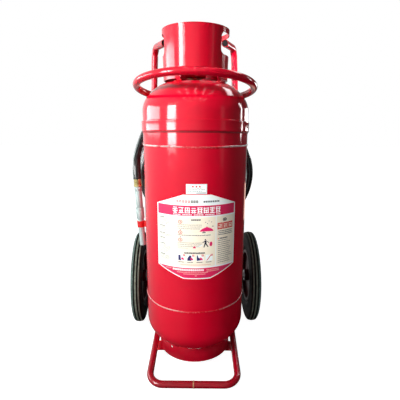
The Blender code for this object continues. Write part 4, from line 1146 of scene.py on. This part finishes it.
def add_lights():
    # Tall window strips, which show as white bars in the gloss.
    strip = aim("strip_left", around(-48, 3.0, 1.33), around(-48, 2.0, 1.33), 0.98, 1.40, 24.0, diffuse=False)
    window = aim("window_left", around(-98.5, 3.0, 1.20), around(-98.5, 2.0, 1.20), 2.35, 0.84, 9.5, diffuse=False)
    for light in (strip, window):
        leave_out(light, gun)
    aim("strip_right", around(113, 3.0, 1.42), around(113, 2.0, 1.42), 0.22, 1.35, 16.0, diffuse=False)
    aim("patch_right", around(140, 3.0, 1.05), around(140, 2.0, 1.05), 1.0, 0.35, 12.0, diffuse=False)
    # The light that shapes the colour, from the front left.
    aim("key", around(-47, 2.9, 2.3), at(0, 0, 0.65), 1.0, 1.2, 23.0, gloss=False)
    aim("key_high", around(-47, 3.2, 2.3), at(0, 0, 1.0), 1.0, 1.0, 0.8, gloss=False, spread=30)
    aim("patch_high", around(128, 1.9, 2.75), around(128, 0.1, 0.95), 1.3, 0.42, 6.5, diffuse=False)
    aim("glow_right", around(151, 1.3, 0.33), around(151, 0.1, 0.60), 0.46, 0.26, 1.5, (1, 0.60, 0.48), diffuse=False)
    aim("streak_right", around(58, 3.0, 1.15), around(58, 2.0, 1.15), 0.46, 1.5, 0.32, diffuse=False)
    # A narrow beam on the right upright, which the collar shades from the key.
    upright = aim("upright_fill", around(-2, 3.0, 1.45), at(0.13, 0.12, 1.11), 0.5, 0.5, 3.2, gloss=False, spread=16)
    only_on(upright, [bpy.data.objects["frame_half_right"]])
    # A tall pale sheen down the outside of the hose.
    sheen = aim("hose_sheen", around(-118, 2.6, 1.30), at(-0.2, 0.0, 0.8), 1.1, 2.4, 7.0, (0.84, 1.0, 0.97), diffuse=False)
    only_on(sheen, [hose])
    # Fill that keeps the print legible where the label turns away.
    fill = aim("label_fill", around(60, 2.6, 1.0), at(0, 0, 0.5), 1.2, 1.2, 2.1, gloss=False)
    prints = [bpy.data.objects[name] for name in ("label_artwork", "sticker_artwork")]
    only_on(fill, prints + [frame["nodes"][name] for name in ("front_label", "inspection_sticker")])
    # Thin roof lights.
    for index in range(5):
        aim(f"roof_{index}", at(-0.9 + 0.45 * index, -1.2, 3.2), at(-0.9 + 0.45 * index, -1.2, 1.0), 0.05, 3.0, 5.0, diffuse=False)


def add_world():
    """White to the camera, a soft even fill for the paint, and a room for the gloss: bright left, dark right and low."""
    world = bpy.data.worlds.new("studio")
    world.use_nodes = True
    tree = world.node_tree
    tree.nodes.clear()
    link = tree.links.new

    def background(colour, strength=1.0):
        made = tree.nodes.new("ShaderNodeBackground")
        made.inputs["Color"].default_value = (*colour, 1)
        made.inputs["Strength"].default_value = strength
        return made

    def ramp(value, stops):
        made = tree.nodes.new("ShaderNodeValToRGB")
        while len(made.color_ramp.elements) < len(stops):
            made.color_ramp.elements.new(0.5)
        for element, (position, level) in zip(made.color_ramp.elements, stops):
            element.position = position
            element.color = (level, level, level, 1)
        link(value, made.inputs["Fac"])
        return made.outputs["Color"]

    def unit(value):
        made = tree.nodes.new("ShaderNodeMapRange")
        made.inputs["From Min"].default_value = -1
        made.inputs["From Max"].default_value = 1
        link(value, made.inputs["Value"])
        return made.outputs["Result"]

    coordinates = tree.nodes.new("ShaderNodeTexCoord")
    parts = tree.nodes.new("ShaderNodeSeparateXYZ")
    link(coordinates.outputs["Generated"], parts.inputs["Vector"])
    across = ramp(
        unit(parts.outputs["X"]),
        ((0.0, 1.0), (0.25, 0.88), (0.40, 0.70), (0.5, 0.58), (0.60, 0.34), (0.68, 0.13), (0.78, 0.04), (1.0, 0.05)),
    )
    level = unit(parts.outputs["Z"])
    front = ramp(level, ((0.0, 0.0), (0.24, 0.0), (0.29, 0.30), (0.40, 0.75), (0.5, 1.0), (0.82, 0.9), (0.92, 0.3), (1.0, 0.15)))
    left = ramp(level, ((0.0, 0.05), (0.20, 0.18), (0.30, 0.40), (0.40, 0.75), (0.5, 1.0), (0.83, 0.85), (0.90, 0.40), (1.0, 0.3)))
    behind = ramp(unit(parts.outputs["Y"]), ((0.0, 0.0), (0.5, 0.0), (0.62, 0.35), (1.0, 0.42)))
    leftness = ramp(unit(parts.outputs["X"]), ((0.0, 1.0), (0.30, 1.0), (0.48, 0.0), (1.0, 0.0)))
    near_left = ramp(unit(parts.outputs["X"]), ((0.0, 1.0), (0.55, 1.0), (0.66, 0.0), (1.0, 0.0)))

    def mixed(kind, factor, first, second):
        made = tree.nodes.new("ShaderNodeMix")
        made.data_type = "RGBA"
        made.blend_type = kind
        made.inputs[0].default_value = factor if isinstance(factor, float) else 0.0
        if not isinstance(factor, float):
            link(factor, made.inputs[0])
        link(first, made.inputs[6])
        link(second, made.inputs[7])
        return made.outputs[2]

    rear = mixed("MULTIPLY", 1.0, behind, near_left)
    base = mixed("LIGHTEN", 1.0, across, rear)
    height = mixed("MIX", leftness, front, left)
    room = mixed("MULTIPLY", 1.0, base, height)
    gloss = background((1, 1, 1))
    link(room, gloss.inputs["Color"])
    gloss.inputs["Strength"].default_value = 1.25
    fill = background((0.16, 0.16, 0.17))
    seen = background((1, 1, 1))
    path = tree.nodes.new("ShaderNodeLightPath")
    lit = tree.nodes.new("ShaderNodeMixShader")
    link(path.outputs["Is Glossy Ray"], lit.inputs["Fac"])
    link(fill.outputs["Background"], lit.inputs[1])
    link(gloss.outputs["Background"], lit.inputs[2])
    mix = tree.nodes.new("ShaderNodeMixShader")
    link(path.outputs["Is Camera Ray"], mix.inputs["Fac"])
    link(lit.outputs["Shader"], mix.inputs[1])
    link(seen.outputs["Background"], mix.inputs[2])
    out = tree.nodes.new("ShaderNodeOutputWorld")
    link(mix.outputs["Shader"], out.inputs["Surface"])
    bpy.context.scene.world = world


def add_floor():
    bm = bmesh.new()
    bmesh.ops.create_grid(bm, x_segments=1, y_segments=1, size=12)
    mesh = bpy.data.meshes.new("floor")
    bm.to_mesh(mesh)
    bm.free()
    obj = bpy.data.objects.new("floor", mesh)
    obj.location.z = -0.0012
    bpy.context.scene.collection.objects.link(obj)
    material = bpy.data.materials.new("floor")
    material.use_nodes = True
    tree = material.node_tree
    main = tree.nodes["Principled BSDF"]
    main.inputs["Base Color"].default_value = (0.45, 0.45, 0.45, 1)
    main.inputs["Roughness"].default_value = 0.9
    main.inputs["Specular IOR Level"].default_value = 0.0
    glow = tree.nodes.new("ShaderNodeEmission")
    glow.inputs["Strength"].default_value = 0.97
    path = tree.nodes.new("ShaderNodeLightPath")
    tree.links.new(path.outputs["Is Camera Ray"], glow.inputs["Color"])
    total = tree.nodes.new("ShaderNodeAddShader")
    tree.links.new(main.outputs["BSDF"], total.inputs[0])
    tree.links.new(glow.outputs["Emission"], total.inputs[1])
    tree.links.new(total.outputs["Shader"], tree.nodes["Material Output"].inputs["Surface"])
    mesh.materials.append(material)
    obj.visible_glossy = False


add_lights()
add_world()
add_floor()
bpy.context.scene.view_settings.view_transform = "Standard"
bpy.context.scene.view_settings.look = "None"


# ---------------------------------------------------------------- end

import json
